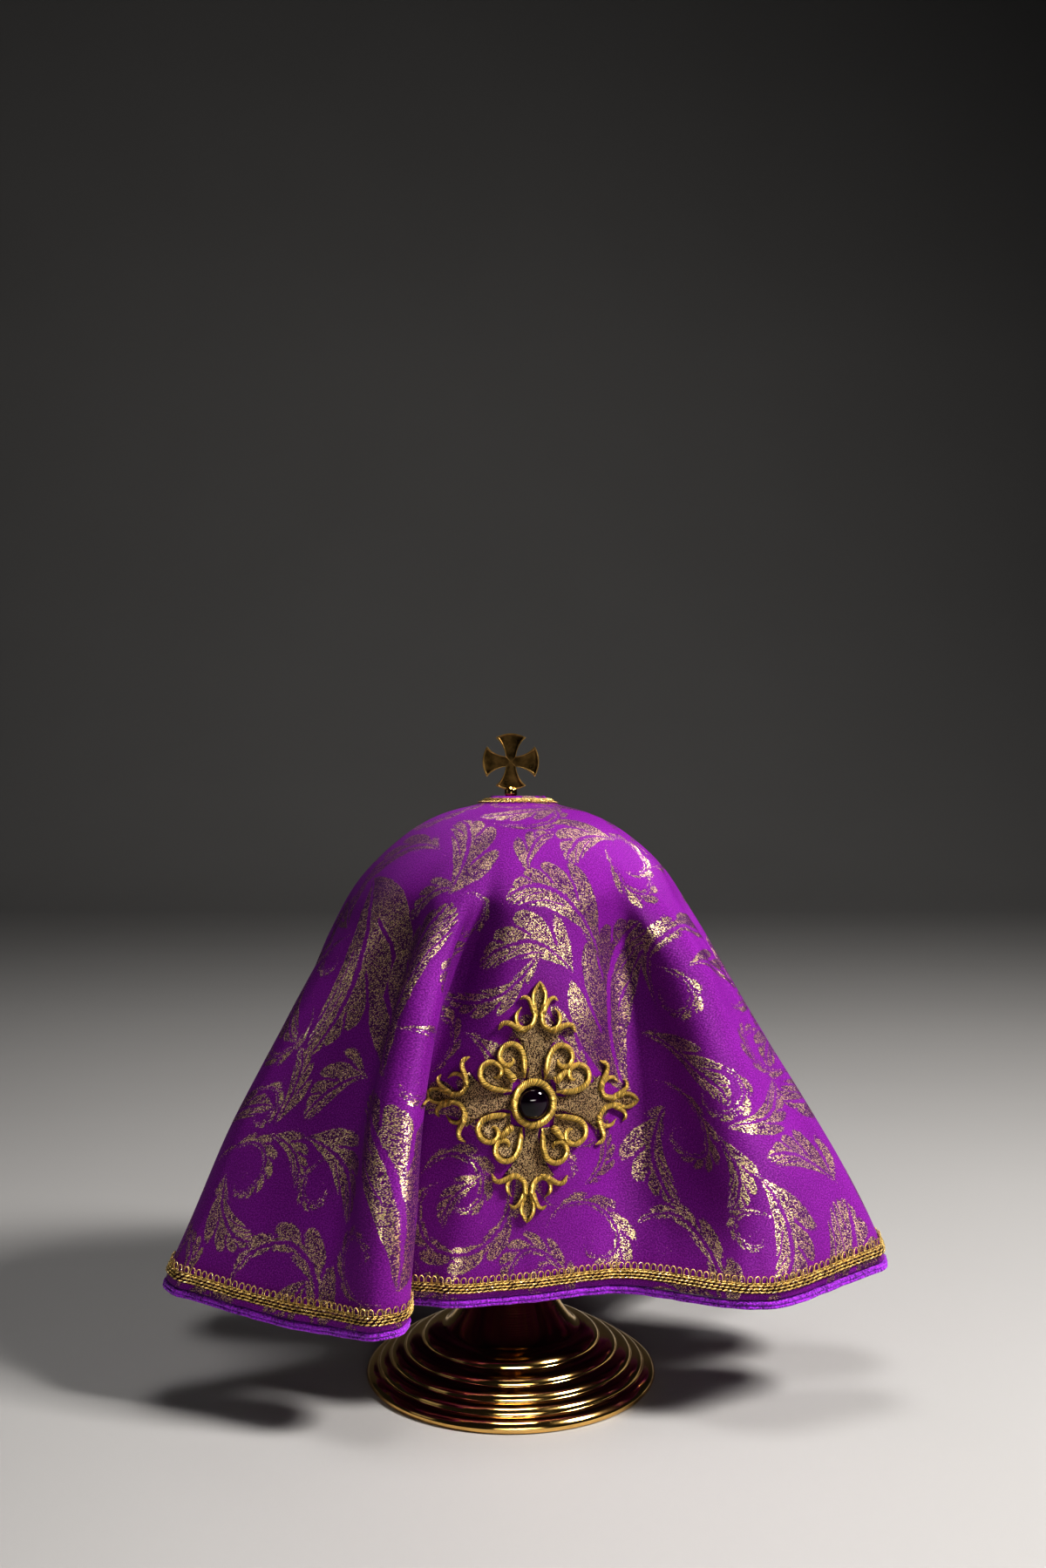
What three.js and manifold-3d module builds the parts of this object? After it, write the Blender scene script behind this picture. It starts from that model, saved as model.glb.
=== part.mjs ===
// A ciborium veil: a round brocade cloth with a hole at its middle, hung over a lidded ciborium.
// Millimetres, +Z up. The origin is the centre of the ciborium's flat underside and the front is -Y.

import * as THREE from 'three';
import { mergeVertices } from 'three/addons/utils/BufferGeometryUtils.js';
import Module from 'manifold-3d';

const wasm = await Module();
wasm.setup();

// Driving sizes of the cloth
const CLOTH_THICKNESS = 2.2;
const PIECE_GAP = 0.3;
const NECK_RADIUS = 10.5;
const NECK_OFFSET = { x: 3, y: 6 };
const CROWN_HEIGHT = 235.4;
const CROWN_SHIFT = 2.5;
const RIM_RADIUS = 63;
const RIM_DROP = 30;
const CROWN_POWER = 2.7;
const CROWN_STATIONS = [0, 0.16, 0.4, 0.64, 0.84, 1];
const SKIRT_STATIONS = [0.09, 0.22, 0.38, 0.56, 0.76, 0.935, 1];

// Driving sizes of the trims
const BINDING_GAP = 0.6;
const BINDING_HEIGHT = 3;
const BINDING_THICKNESS = 3.6;
const BRAID_WIDTH = 6.8;
const BRAID_THICKNESS = 0.9;
const BRAID_ABOVE_HEM = 2.6;
const BRAID_GAP = 0.5;
const NECK_BRAID_INNER = 12.5;
const NECK_BRAID_OUTER = 19.5;
const NECK_BRAID_STEPS = 40;

// Driving sizes of the embroidered cross and its stone
const CROSS_CENTRE = { x: 8.6, z: 124 };
const CROSS_LEAN_DEG = 2.5;
const CROSS_THICKNESS = 1.3;
const CORD_THICKNESS = 2.4;
const RING_OUTER = 9.8;
const STONE_SEAT = 7.3;
const STONE_RADIUS = 6.4;
const STONE_LIFT = 0.5;
const STONE_DEPTH = 4.2;
const STONE_SIDES = 12;

// Driving sizes of the ciborium
const FOOT_RADIUS = 60;
const LID_EDGE_RADIUS = 58.8;
const LID_EDGE_HEIGHT = 203.5;
const LID_WALL = 1.6;
const LID_CLEARANCE = { middle: 0.5, edge: 1.6 };
const CUP_WALL = 1.8;
const CUP_RIM_RADIUS = 56;
const TURNED_STEPS = 36;
const FINIAL_CENTRE_HEIGHT = 254;
const FINIAL_RADIUS = 11.8;
const FINIAL_THICKNESS = 2.2;

// Each fold of the hem is wrapped round an upright roll, as a belt runs round pulleys. A crest goes
// round the outside of its roll and a valley round the inside. x and y are the roll's centre, roll is
// its radius, hem is the cloth's height there, rim is the bearing in degrees where the same strip of
// cloth leaves the lid, reach is how far from the axis it does so, and hang is how soon it then falls.
const FOLDS = [
  { name: 'left_tip', side: 'crest', x: -123, y: -31, roll: 12, hem: 49.6, rim: 205, reach: 64, hang: 1.1 },
  { name: 'left_valley', side: 'valley', x: -82, y: -80, roll: 22, hem: 42.2, rim: 237, reach: 63, hang: 1.7 },
  { name: 'front_crest', side: 'crest', x: -51, y: -59, roll: 11.5, hem: 44, rim: 254, reach: 65.5, hang: 2.8 },
  { name: 'pocket', side: 'valley', x: -62, y: -41, roll: 6, hem: 45, rim: 262, reach: 63, hang: 1 },
  { name: 'panel', side: 'crest', x: -20, y: -26, roll: 23, hem: 47.5, rim: 273, reach: 64, hang: 1.1 },
  { name: 'right_hollow', side: 'valley', x: 42, y: -65, roll: 25, hem: 50, rim: 308, reach: 62.5, hang: 1.4 },
  { name: 'right_crest', side: 'crest', x: 94, y: -29, roll: 30, hem: 50.6, rim: 322, reach: 66, hang: 1.4 },
  { name: 'right_tip', side: 'crest', x: 138, y: -32, roll: 9.5, hem: 59, rim: 334, reach: 67.5, hang: 1.35 },
  { name: 'right_pocket', side: 'valley', x: 84, y: -16, roll: 6, hem: 48, rim: 349, reach: 63, hang: 1.1 },
  { name: 'second_right', side: 'crest', x: 133, y: 5, roll: 15, hem: 58, rim: 369, reach: 67, hang: 1.2 },
  { name: 'back_right_valley', side: 'valley', x: 86, y: 37, roll: 9, hem: 46, rim: 392, reach: 63, hang: 1.2 },
  { name: 'back_right', side: 'crest', x: 104, y: 88, roll: 18, hem: 57, rim: 414, reach: 66, hang: 1.2 },
  { name: 'back_valley', side: 'valley', x: 47, y: 73, roll: 10, hem: 45, rim: 434, reach: 63, hang: 1.2 },
  { name: 'back', side: 'crest', x: 8, y: 126, roll: 20, hem: 58, rim: 452, reach: 66, hang: 1.2 },
  { name: 'far_valley', side: 'valley', x: -30, y: 73, roll: 10, hem: 45, rim: 476, reach: 63, hang: 1.2 },
  { name: 'back_left', side: 'crest', x: -84, y: 103, roll: 18, hem: 57, rim: 498, reach: 66, hang: 1.2 },
  { name: 'side_valley', side: 'valley', x: -76, y: 58, roll: 8, hem: 46, rim: 518, reach: 63, hang: 1.2 },
  { name: 'second_left', side: 'crest', x: -117, y: 42, roll: 15, hem: 56, rim: 536, reach: 64.5, hang: 1.1 },
  { name: 'left_pocket', side: 'valley', x: -84, y: 11, roll: 8, hem: 47, rim: 551, reach: 63, hang: 1.1 }
];

const COLOURS = {
  brocade: '#6a1496', velvet: '#7d2bc4', braid: '#c9a552', embroidery: '#d2a02f',
  stone: '#1c0a20', gilt: '#c8962e'
};

function wrap(angle) {
  const turn = 2 * Math.PI;
  return ((angle % turn) + turn) % turn;
}

// The straight runs and arcs of the belt round the rolls, in order, as a list of plan points. Each
// point knows which rolls it lies between, so the other columns can be blended along the hem.
function hemBelt(folds, arcStep, runStep) {
  const count = folds.length;
  const signed = folds.map((fold) => (fold.side === 'crest' ? fold.roll : -fold.roll));
  const bearings = folds.map((fold, i) => {
    const next = folds[(i + 1) % count];
    const dx = next.x - fold.x;
    const dy = next.y - fold.y;
    const lean = Math.asin((signed[i] - signed[(i + 1) % count]) / Math.hypot(dx, dy));
    return Math.atan2(dy, dx) + lean;
  });
  const touch = (fold, radius, bearing) => new THREE.Vector2(
    fold.x + radius * Math.sin(bearing), fold.y - radius * Math.cos(bearing));
  const points = [];
  for (let i = 0; i < count; i++) {
    const arriving = bearings[(i + count - 1) % count];
    const leaving = bearings[i];
    const turn = signed[i] > 0 ? wrap(leaving - arriving) : -wrap(arriving - leaving);
    const arcs = Math.max(2, Math.ceil(Math.abs(turn) / arcStep));
    for (let j = 0; j <= arcs; j++) {
      points.push({ at: touch(folds[i], signed[i], arriving + turn * j / arcs), mark: i + j / arcs - 0.5 });
    }
    const start = points[points.length - 1].at;
    const next = (i + 1) % count;
    const end = touch(folds[next], signed[next], leaving);
    const runs = Math.max(1, Math.round(start.distanceTo(end) / runStep));
    for (let j = 1; j < runs; j++) {
      points.push({ at: start.clone().lerp(end, j / runs), mark: i + 0.5 });
    }
  }
  return points;
}

// A column of the fold table carried along the hem by its length, from the middle of one roll's arc
// to the middle of the next, with level joins.
function carryColumn(points, folds, column, fullTurn) {
  const lengths = [0];
  for (let i = 1; i < points.length; i++) {
    lengths.push(lengths[i - 1] + points[i].at.distanceTo(points[i - 1].at));
  }
  const whole = lengths[lengths.length - 1] + points[0].at.distanceTo(points[points.length - 1].at);
  const middles = folds.map((fold, i) => {
    const own = lengths.filter((length, j) => Math.abs(points[j].mark - i) <= 0.5 && !isRun(points, j));
    return (own[0] + own[own.length - 1]) / 2;
  });
  const count = folds.length;
  return lengths.map((length) => {
    let i = middles.findLastIndex((middle) => middle <= length);
    const before = i < 0;
    i = before ? count - 1 : i;
    const from = before ? middles[i] - whole : middles[i];
    const to = i === count - 1 && !before ? middles[0] + whole : middles[(i + 1) % count];
    const share = (length - from) / (to - from);
    const start = folds[i][column] - (before ? fullTurn : 0);
    const end = folds[(i + 1) % count][column] + (i === count - 1 && !before ? fullTurn : 0);
    const level = fullTurn === 0 ? share * share * (3 - 2 * share) : share;
    return start + (end - start) * level;
  });
}

function isRun(points, j) {
  const mark = points[j].mark;
  const before = points[(j + points.length - 1) % points.length].mark;
  return mark === before && mark % 1 !== 0 && j > 0;
}

function crownHeight(x, y) {
  return CROWN_HEIGHT - RIM_DROP * Math.pow(Math.hypot(x - CROWN_SHIFT, y) / RIM_RADIUS, CROWN_POWER);
}

// The middle of the cloth: one row of points for each station from the neck out and down to the hem.
function clothRows(points) {
  const rim = carryColumn(points, FOLDS, 'rim', 360);
  const reach = carryColumn(points, FOLDS, 'reach', 0);
  const hem = carryColumn(points, FOLDS, 'hem', 0);
  const hang = carryColumn(points, FOLDS, 'hang', 0);
  const rows = CROWN_STATIONS.map((station) => points.map((point, i) => {
    const bearing = THREE.MathUtils.degToRad(rim[i]);
    const radius = THREE.MathUtils.lerp(NECK_RADIUS, reach[i], station);
    const shift = 1 - station;
    const x = radius * Math.cos(bearing) + NECK_OFFSET.x * shift;
    const y = radius * Math.sin(bearing) + NECK_OFFSET.y * shift;
    return new THREE.Vector3(x, y, crownHeight(x, y));
  }));
  const rimRow = rows[rows.length - 1];
  for (const station of SKIRT_STATIONS) {
    rows.push(points.map((point, i) => {
      const out = 1 - Math.pow(1 - station, hang[i]);
      const edge = rimRow[i];
      return new THREE.Vector3(
        THREE.MathUtils.lerp(edge.x, point.at.x, out),
        THREE.MathUtils.lerp(edge.y, point.at.y, out),
        THREE.MathUtils.lerp(edge.z, hem[i], station));
    }));
  }
  return rows;
}

// Outward normals of a sheet whose rows are closed rings.
function sheetNormals(rows) {
  const last = rows.length - 1;
  return rows.map((row, r) => row.map((point, i) => {
    const around = row[(i + 1) % row.length].clone().sub(row[(i + row.length - 1) % row.length]);
    const down = rows[Math.min(r + 1, last)][i].clone().sub(rows[Math.max(r - 1, 0)][i]);
    return down.cross(around).normalize();
  }));
}

function offsetRows(rows, normals, distance) {
  return rows.map((row, r) => row.map((point, i) => point.clone().addScaledVector(normals[r][i], distance)));
}

// A closed body from rings of equal count, each joined to the next and the last to the first.
function ringBody(rings) {
  const count = rings[0].length;
  const index = [];
  for (let r = 0; r < rings.length; r++) {
    const next = (r + 1) % rings.length;
    for (let i = 0; i < count; i++) {
      const j = (i + 1) % count;
      index.push(r * count + i, next * count + i, next * count + j);
      index.push(r * count + i, next * count + j, r * count + j);
    }
  }
  const geometry = new THREE.BufferGeometry();
  const flat = rings.flat().flatMap((point) => [point.x, point.y, point.z]);
  geometry.setAttribute('position', new THREE.Float32BufferAttribute(flat, 3));
  geometry.setIndex(index);
  return geometry;
}

function finish(geometry, name, colour, roughness, metalness) {
  const bare = geometry.clone();
  bare.deleteAttribute('normal');
  bare.deleteAttribute('uv');
  const merged = mergeVertices(bare, 1e-4);
  merged.computeVertexNormals();
  const material = new THREE.MeshStandardMaterial({ color: colour, roughness, metalness });
  const mesh = new THREE.Mesh(merged, material);
  mesh.name = name;
  return mesh;
}

function toManifold(geometry) {
  const bare = geometry.clone();
  bare.deleteAttribute('normal');
  bare.deleteAttribute('uv');
  const merged = mergeVertices(bare, 1e-4);
  return new wasm.Manifold(new wasm.Mesh({
    numProp: 3,
    vertProperties: new Float32Array(merged.attributes.position.array),
    triVerts: new Uint32Array(merged.index.array)
  }));
}

function fromManifold(solid) {
  const mesh = solid.getMesh();
  const geometry = new THREE.BufferGeometry();
  geometry.setAttribute('position', new THREE.BufferAttribute(mesh.vertProperties, 3));
  geometry.setIndex(new THREE.BufferAttribute(mesh.triVerts, 1));
  return geometry;
}

function makeCloth(rows, normals) {
  const outer = offsetRows(rows, normals, CLOTH_THICKNESS / 2);
  const inner = offsetRows(rows, normals, -CLOTH_THICKNESS / 2);
  return ringBody([...outer, ...inner.reverse()]);
}

// A point of the cloth near the hem, a given length above the cloth's edge and off its middle.
function nearHem(rows, normals, above, off) {
  const last = rows.length - 1;
  return rows[last].map((edge, i) => {
    const up = rows[last - 1][i].clone().sub(edge);
    const share = above / up.length();
    const normal = normals[last][i].clone().lerp(normals[last - 1][i], Math.max(share, 0)).normalize();
    return edge.clone().addScaledVector(up, share).addScaledVector(normal, off);
  });
}

function makeBinding(rows, normals) {
  const top = -BINDING_GAP;
  const bottom = top - BINDING_HEIGHT;
  const half = BINDING_THICKNESS / 2;
  return ringBody([
    nearHem(rows, normals, top, half),
    nearHem(rows, normals, bottom, half * 0.7),
    nearHem(rows, normals, bottom, -half * 0.7),
    nearHem(rows, normals, top, -half)
  ]);
}

function makeHemBraid(rows, normals) {
  const face = CLOTH_THICKNESS / 2 + BRAID_GAP;
  const top = BRAID_ABOVE_HEM + BRAID_WIDTH;
  return ringBody([
    nearHem(rows, normals, top, face + BRAID_THICKNESS),
    nearHem(rows, normals, BRAID_ABOVE_HEM, face + BRAID_THICKNESS),
    nearHem(rows, normals, BRAID_ABOVE_HEM, face),
    nearHem(rows, normals, top, face)
  ]);
}

function makeNeckBraid() {
  const ring = (radius, lift) => {
    const points = [];
    for (let i = 0; i < NECK_BRAID_STEPS; i++) {
      const turn = 2 * Math.PI * i / NECK_BRAID_STEPS;
      const x = NECK_OFFSET.x + radius * Math.cos(turn);
      const y = NECK_OFFSET.y + radius * Math.sin(turn);
      points.push(new THREE.Vector3(x, y, crownHeight(x, y) + lift));
    }
    return points;
  };
  const face = CLOTH_THICKNESS / 2 + BRAID_GAP;
  return ringBody([
    ring(NECK_BRAID_INNER, face + BRAID_THICKNESS),
    ring(NECK_BRAID_OUTER, face + BRAID_THICKNESS),
    ring(NECK_BRAID_OUTER, face),
    ring(NECK_BRAID_INNER, face)
  ]);
}

// A patch of the cloth's outer face between two folds, thickened outward, that the cross is cut from.
function clothPatch(rows, normals, columns, stations, from, to) {
  const near = offsetRows(rows, normals, CLOTH_THICKNESS / 2 + from);
  const far = offsetRows(rows, normals, CLOTH_THICKNESS / 2 + to);
  const width = columns.length;
  const height = stations.length;
  const flat = [];
  for (const layer of [near, far]) {
    for (const r of stations) {
      for (const i of columns) {
        flat.push(layer[r][i].x, layer[r][i].y, layer[r][i].z);
      }
    }
  }
  const index = [];
  const at = (layer, r, i) => (layer * height + r) * width + i;
  const quad = (a, b, c, d) => index.push(a, b, c, a, c, d);
  for (let r = 0; r + 1 < height; r++) {
    for (let i = 0; i + 1 < width; i++) {
      quad(at(1, r, i), at(1, r + 1, i), at(1, r + 1, i + 1), at(1, r, i + 1));
      quad(at(0, r, i), at(0, r, i + 1), at(0, r + 1, i + 1), at(0, r + 1, i));
    }
    quad(at(0, r, 0), at(0, r + 1, 0), at(1, r + 1, 0), at(1, r, 0));
    quad(at(0, r, width - 1), at(1, r, width - 1), at(1, r + 1, width - 1), at(0, r + 1, width - 1));
  }
  for (let i = 0; i + 1 < width; i++) {
    quad(at(0, 0, i), at(1, 0, i), at(1, 0, i + 1), at(0, 0, i + 1));
    quad(at(0, height - 1, i), at(0, height - 1, i + 1), at(1, height - 1, i + 1), at(1, height - 1, i));
  }
  const geometry = new THREE.BufferGeometry();
  geometry.setAttribute('position', new THREE.Float32BufferAttribute(flat, 3));
  geometry.setIndex(index);
  return geometry;
}

// The four-armed outline of the embroidery, from the distances along and across one arm.
const ARM = [
  { along: 9.2, across: 3.2 }, { along: 16, across: 3 }, { along: 22, across: 4.4 },
  { along: 25, across: 8 }, { along: 25.6, across: 14.5 }, { along: 28.4, across: 14.8 },
  { along: 29.6, across: 10.5 }, { along: 31, across: 8.6 }, { along: 35.2, across: 8.2 },
  { along: 35.6, across: 5.6 }, { along: 33.6, across: 3.6 }, { along: 37, across: 3.2 },
  { along: 38.4, across: 7.6 }, { along: 40.2, across: 7.2 }, { along: 40.4, across: 3.4 }
];
const ARM_TIP = 45.6;

// The pair of facing scrolls that fills the corner between two arms, as centres and a radius.
const CORNER_SCROLLS = [{ along: 17.6, across: 10 }, { along: 10, across: 17.6 }];
const SCROLL_RADIUS = 5;
const SCROLL_JOIN = { away: 9.6, radius: 5.6 };

function crossShape() {
  const shape = new THREE.Shape();
  const corners = [];
  for (let arm = 0; arm < 4; arm++) {
    const turn = arm * Math.PI / 2;
    const place = (along, across) => new THREE.Vector2(
      along * Math.cos(turn) - across * Math.sin(turn), along * Math.sin(turn) + across * Math.cos(turn));
    for (const point of ARM) {
      corners.push(place(point.along, -point.across));
    }
    corners.push(place(ARM_TIP, 0));
    for (const point of [...ARM].reverse()) {
      corners.push(place(point.along, point.across));
    }
  }
  shape.setFromPoints(corners);
  return shape;
}

// A flat outline in the cross's own plane, pushed through the cloth from front to back.
function throughCloth(shape, curveSegments) {
  const geometry = new THREE.ExtrudeGeometry(shape, { depth: 90, bevelEnabled: false, curveSegments });
  geometry.rotateZ(THREE.MathUtils.degToRad(-CROSS_LEAN_DEG));
  geometry.rotateX(Math.PI / 2);
  geometry.translate(CROSS_CENTRE.x, 0, CROSS_CENTRE.z);
  return toManifold(geometry);
}

function disc(x, y, radius) {
  const shape = new THREE.Shape();
  shape.absarc(x, y, radius, 0, 2 * Math.PI);
  return shape;
}

function makeCross(rows, normals, columns, stations) {
  const ground = toManifold(clothPatch(rows, normals, columns, stations, PIECE_GAP, CROSS_THICKNESS));
  const raised = toManifold(clothPatch(rows, normals, columns, stations, PIECE_GAP, CORD_THICKNESS));
  let outline = throughCloth(crossShape(), 1);
  for (let corner = 0; corner < 4; corner++) {
    const turn = corner * Math.PI / 2;
    for (const scroll of CORNER_SCROLLS) {
      const x = scroll.along * Math.cos(turn) - scroll.across * Math.sin(turn);
      const y = scroll.along * Math.sin(turn) + scroll.across * Math.cos(turn);
      outline = outline.add(throughCloth(disc(x, y, SCROLL_RADIUS), 7));
    }
    const middle = new THREE.Vector2(SCROLL_JOIN.away, SCROLL_JOIN.away).rotateAround(new THREE.Vector2(), turn);
    outline = outline.add(throughCloth(disc(middle.x, middle.y, SCROLL_JOIN.radius), 7));
  }
  const ring = throughCloth(disc(0, 0, RING_OUTER), 12);
  const seat = throughCloth(disc(0, 0, STONE_SEAT), 12);
  const plate = ground.intersect(outline.add(ring));
  const rope = raised.intersect(ring);
  return fromManifold(plate.add(rope).subtract(seat));
}

// Where a line from the front meets the middle of the cloth, at a given x and z.
function clothPointAt(rows, columns, stations, x, z) {
  const ray = new THREE.Ray(new THREE.Vector3(x, -300, z), new THREE.Vector3(0, 1, 0));
  for (const r of stations.slice(0, -1)) {
    for (const i of columns.slice(0, -1)) {
      const corners = [rows[r][i], rows[r + 1][i], rows[r + 1][i + 1], rows[r][i + 1]];
      const hit = new THREE.Vector3();
      if (ray.intersectTriangle(corners[0], corners[1], corners[2], false, hit)
        || ray.intersectTriangle(corners[0], corners[2], corners[3], false, hit)) {
        return hit;
      }
    }
  }
  throw new Error('the cross lies off its panel of cloth');
}

// The stone's seat: square to the cloth under it, and high enough to clear the cloth all round.
function stoneSeat(rows, columns, stations) {
  const at = (dx, dz) => clothPointAt(rows, columns, stations, CROSS_CENTRE.x + dx, CROSS_CENTRE.z + dz);
  const centre = at(0, 0);
  const across = at(STONE_RADIUS, 0).sub(at(-STONE_RADIUS, 0));
  const upward = at(0, STONE_RADIUS).sub(at(0, -STONE_RADIUS));
  const normal = across.cross(upward).normalize();
  let highest = 0;
  for (let i = 0; i < STONE_SIDES; i++) {
    const turn = 2 * Math.PI * i / STONE_SIDES;
    const edge = at(STONE_RADIUS * Math.cos(turn), STONE_RADIUS * Math.sin(turn));
    highest = Math.max(highest, edge.sub(centre).dot(normal));
  }
  return { point: centre.addScaledVector(normal, highest), normal };
}

function makeStone(seat) {
  const profile = [
    new THREE.Vector2(0, 0), new THREE.Vector2(STONE_RADIUS * 0.9, 0),
    new THREE.Vector2(STONE_RADIUS, STONE_DEPTH * 0.3), new THREE.Vector2(STONE_RADIUS * 0.82, STONE_DEPTH * 0.7),
    new THREE.Vector2(STONE_RADIUS * 0.45, STONE_DEPTH), new THREE.Vector2(0, STONE_DEPTH)
  ];
  const geometry = new THREE.LatheGeometry(profile, STONE_SIDES);
  const up = new THREE.Vector3(0, 1, 0);
  geometry.applyQuaternion(new THREE.Quaternion().setFromUnitVectors(up, seat.normal));
  const lift = CLOTH_THICKNESS / 2 + STONE_LIFT;
  geometry.translate(...seat.point.clone().addScaledVector(seat.normal, lift).toArray());
  return geometry;
}

function turned(profile, steps) {
  const geometry = new THREE.LatheGeometry(profile.map((p) => new THREE.Vector2(p.radius, p.height)), steps);
  geometry.rotateX(Math.PI / 2);
  return geometry;
}

// The stepped foot, its trumpet-shaped rise, the thin stem and the knop, up to the seat of the cup.
const FOOT_PROFILE = [
  { radius: 0, height: 0 }, { radius: FOOT_RADIUS - 0.4, height: 0 }, { radius: FOOT_RADIUS, height: 2.4 },
  { radius: 58.4, height: 4.2 }, { radius: 55.2, height: 4.6 }, { radius: 54.4, height: 7 },
  { radius: 50.4, height: 7.6 }, { radius: 48.8, height: 10.2 }, { radius: 44.6, height: 11 },
  { radius: 42.6, height: 13.4 }, { radius: 37.4, height: 14.4 }, { radius: 35.2, height: 16.6 },
  { radius: 29, height: 18.6 }, { radius: 23.6, height: 24 }, { radius: 19.6, height: 31 },
  { radius: 15, height: 41 }, { radius: 9.6, height: 56 }, { radius: 5.2, height: 74 },
  { radius: 4.4, height: 92 }, { radius: 12.6, height: 99 }, { radius: 14, height: 104 },
  { radius: 12.6, height: 109 }, { radius: 4.4, height: 116 }, { radius: 5.4, height: 124 },
  { radius: 10, height: 127.4 }, { radius: 0, height: 127.4 }
];

// The outside of the bowl from its foot up to its rim; the inside follows it one wall thickness in.
const CUP_PROFILE = [
  { radius: 10, height: 127.7 }, { radius: 26, height: 132.4 }, { radius: 40, height: 143 },
  { radius: 49.4, height: 158 }, { radius: 54.4, height: 176 }, { radius: CUP_RIM_RADIUS, height: 200.6 }
];

function cupWall() {
  const outside = [{ radius: 0, height: CUP_PROFILE[0].height }, ...CUP_PROFILE];
  const inside = [...CUP_PROFILE].reverse().map((p, i) => ({
    radius: p.radius - CUP_WALL, height: i === 0 ? p.height : p.height + CUP_WALL }));
  return [...outside, ...inside, { radius: 0, height: CUP_PROFILE[0].height + CUP_WALL }];
}

// The lid follows the lower side of the cloth's dome: close at its middle, clear of it at its edge.
function lidWall() {
  const clearance = (radius) => CLOTH_THICKNESS / 2 + LID_CLEARANCE.middle
    + LID_CLEARANCE.edge * Math.pow(radius / LID_EDGE_RADIUS, 2);
  const radii = [0, 8, 20, 31, 41, 50, 55.6];
  const top = radii.map((radius) => ({ radius, height: crownHeight(-radius, 0) - clearance(radius) }));
  const edge = [
    { radius: LID_EDGE_RADIUS, height: LID_EDGE_HEIGHT }, { radius: LID_EDGE_RADIUS, height: LID_EDGE_HEIGHT - 2.6 },
    { radius: LID_EDGE_RADIUS - 2, height: LID_EDGE_HEIGHT - 2.6 }
  ];
  const under = [50, 41, 31, 20, 8, 0].map((radius) => ({
    radius, height: crownHeight(-radius, 0) - clearance(radius) - LID_WALL - 0.8 }));
  return [...top, ...edge, ...under].reverse();
}

const FINIAL_FOOT = CROWN_HEIGHT - CLOTH_THICKNESS / 2 - LID_CLEARANCE.middle + PIECE_GAP;
const COLLAR_PROFILE = [
  { radius: 0, height: FINIAL_FOOT }, { radius: 3.6, height: FINIAL_FOOT }, { radius: 3.4, height: 237.2 },
  { radius: 1.9, height: 238 }, { radius: 2.7, height: 238.9 }, { radius: 2.1, height: 239.6 },
  { radius: 2.7, height: 240.4 }, { radius: 2.6, height: 242.4 }, { radius: 1.6, height: 243.6 },
  { radius: 0, height: 243.6 }
];
const PATTEE = { waist: 2.1, halfSpanDeg: 32.6, sideSag: 1.35 };

function patteeShape() {
  const shape = new THREE.Shape();
  const span = THREE.MathUtils.degToRad(PATTEE.halfSpanDeg);
  for (let arm = 0; arm < 4; arm++) {
    const turn = arm * Math.PI / 2;
    const place = (x, y) => [x * Math.cos(turn) - y * Math.sin(turn), x * Math.sin(turn) + y * Math.cos(turn)];
    const tip = { x: FINIAL_RADIUS * Math.cos(span), y: FINIAL_RADIUS * Math.sin(span) };
    const bend = { x: (tip.x + PATTEE.waist) / 2 + PATTEE.sideSag, y: (tip.y + PATTEE.waist) / 2 - PATTEE.sideSag };
    const start = place(PATTEE.waist, -PATTEE.waist);
    if (arm === 0) {
      shape.moveTo(...start);
    }
    shape.quadraticCurveTo(...place(bend.x, -bend.y), ...place(tip.x, -tip.y));
    shape.absarc(0, 0, FINIAL_RADIUS, turn - span, turn + span);
    shape.quadraticCurveTo(...place(bend.x, bend.y), ...place(PATTEE.waist, PATTEE.waist));
  }
  return shape;
}

function makeFinial() {
  const plate = new THREE.ExtrudeGeometry(patteeShape(), {
    depth: FINIAL_THICKNESS, bevelEnabled: false, curveSegments: 7 });
  plate.rotateX(Math.PI / 2);
  plate.translate(0, FINIAL_THICKNESS / 2, FINIAL_CENTRE_HEIGHT);
  return fromManifold(toManifold(plate).add(toManifold(turned(COLLAR_PROFILE, 16))));
}

const ARC_STEP = THREE.MathUtils.degToRad(38);
const RUN_STEP = 27;
const hemPoints = hemBelt(FOLDS, ARC_STEP, RUN_STEP);
const rows = clothRows(hemPoints);
const normals = sheetNormals(rows);

// The cross lies on the panel between the pocket and the right hollow, below the lid.
const pocket = FOLDS.findIndex((fold) => fold.name === 'pocket');
const hollow = FOLDS.findIndex((fold) => fold.name === 'right_hollow');
const panelColumns = hemPoints.map((point, i) => i).filter(
  (i) => hemPoints[i].mark >= pocket && hemPoints[i].mark <= hollow + 0.5);
const panelStations = rows.map((row, r) => r).filter((r) => r >= CROWN_STATIONS.length - 1);
const seat = stoneSeat(rows, panelColumns, panelStations);

const group = new THREE.Group();
group.add(finish(makeCloth(rows, normals), 'veil_cloth', COLOURS.brocade, 0.55, 0));
group.add(finish(makeBinding(rows, normals), 'hem_binding', COLOURS.velvet, 0.8, 0));
group.add(finish(makeHemBraid(rows, normals), 'hem_braid', COLOURS.braid, 0.4, 0.6));
group.add(finish(makeNeckBraid(), 'neck_braid', COLOURS.braid, 0.4, 0.6));
group.add(finish(makeCross(rows, normals, panelColumns, panelStations), 'cross_applique',
  COLOURS.embroidery, 0.45, 0.4));
group.add(finish(makeStone(seat), 'cross_stone', COLOURS.stone, 0.05, 0));
group.add(finish(turned(FOOT_PROFILE, TURNED_STEPS), 'ciborium_foot', COLOURS.gilt, 0.18, 1));
group.add(finish(turned(cupWall(), TURNED_STEPS), 'ciborium_cup', COLOURS.gilt, 0.18, 1));
group.add(finish(turned(lidWall(), TURNED_STEPS), 'ciborium_lid', COLOURS.gilt, 0.18, 1));
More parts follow.
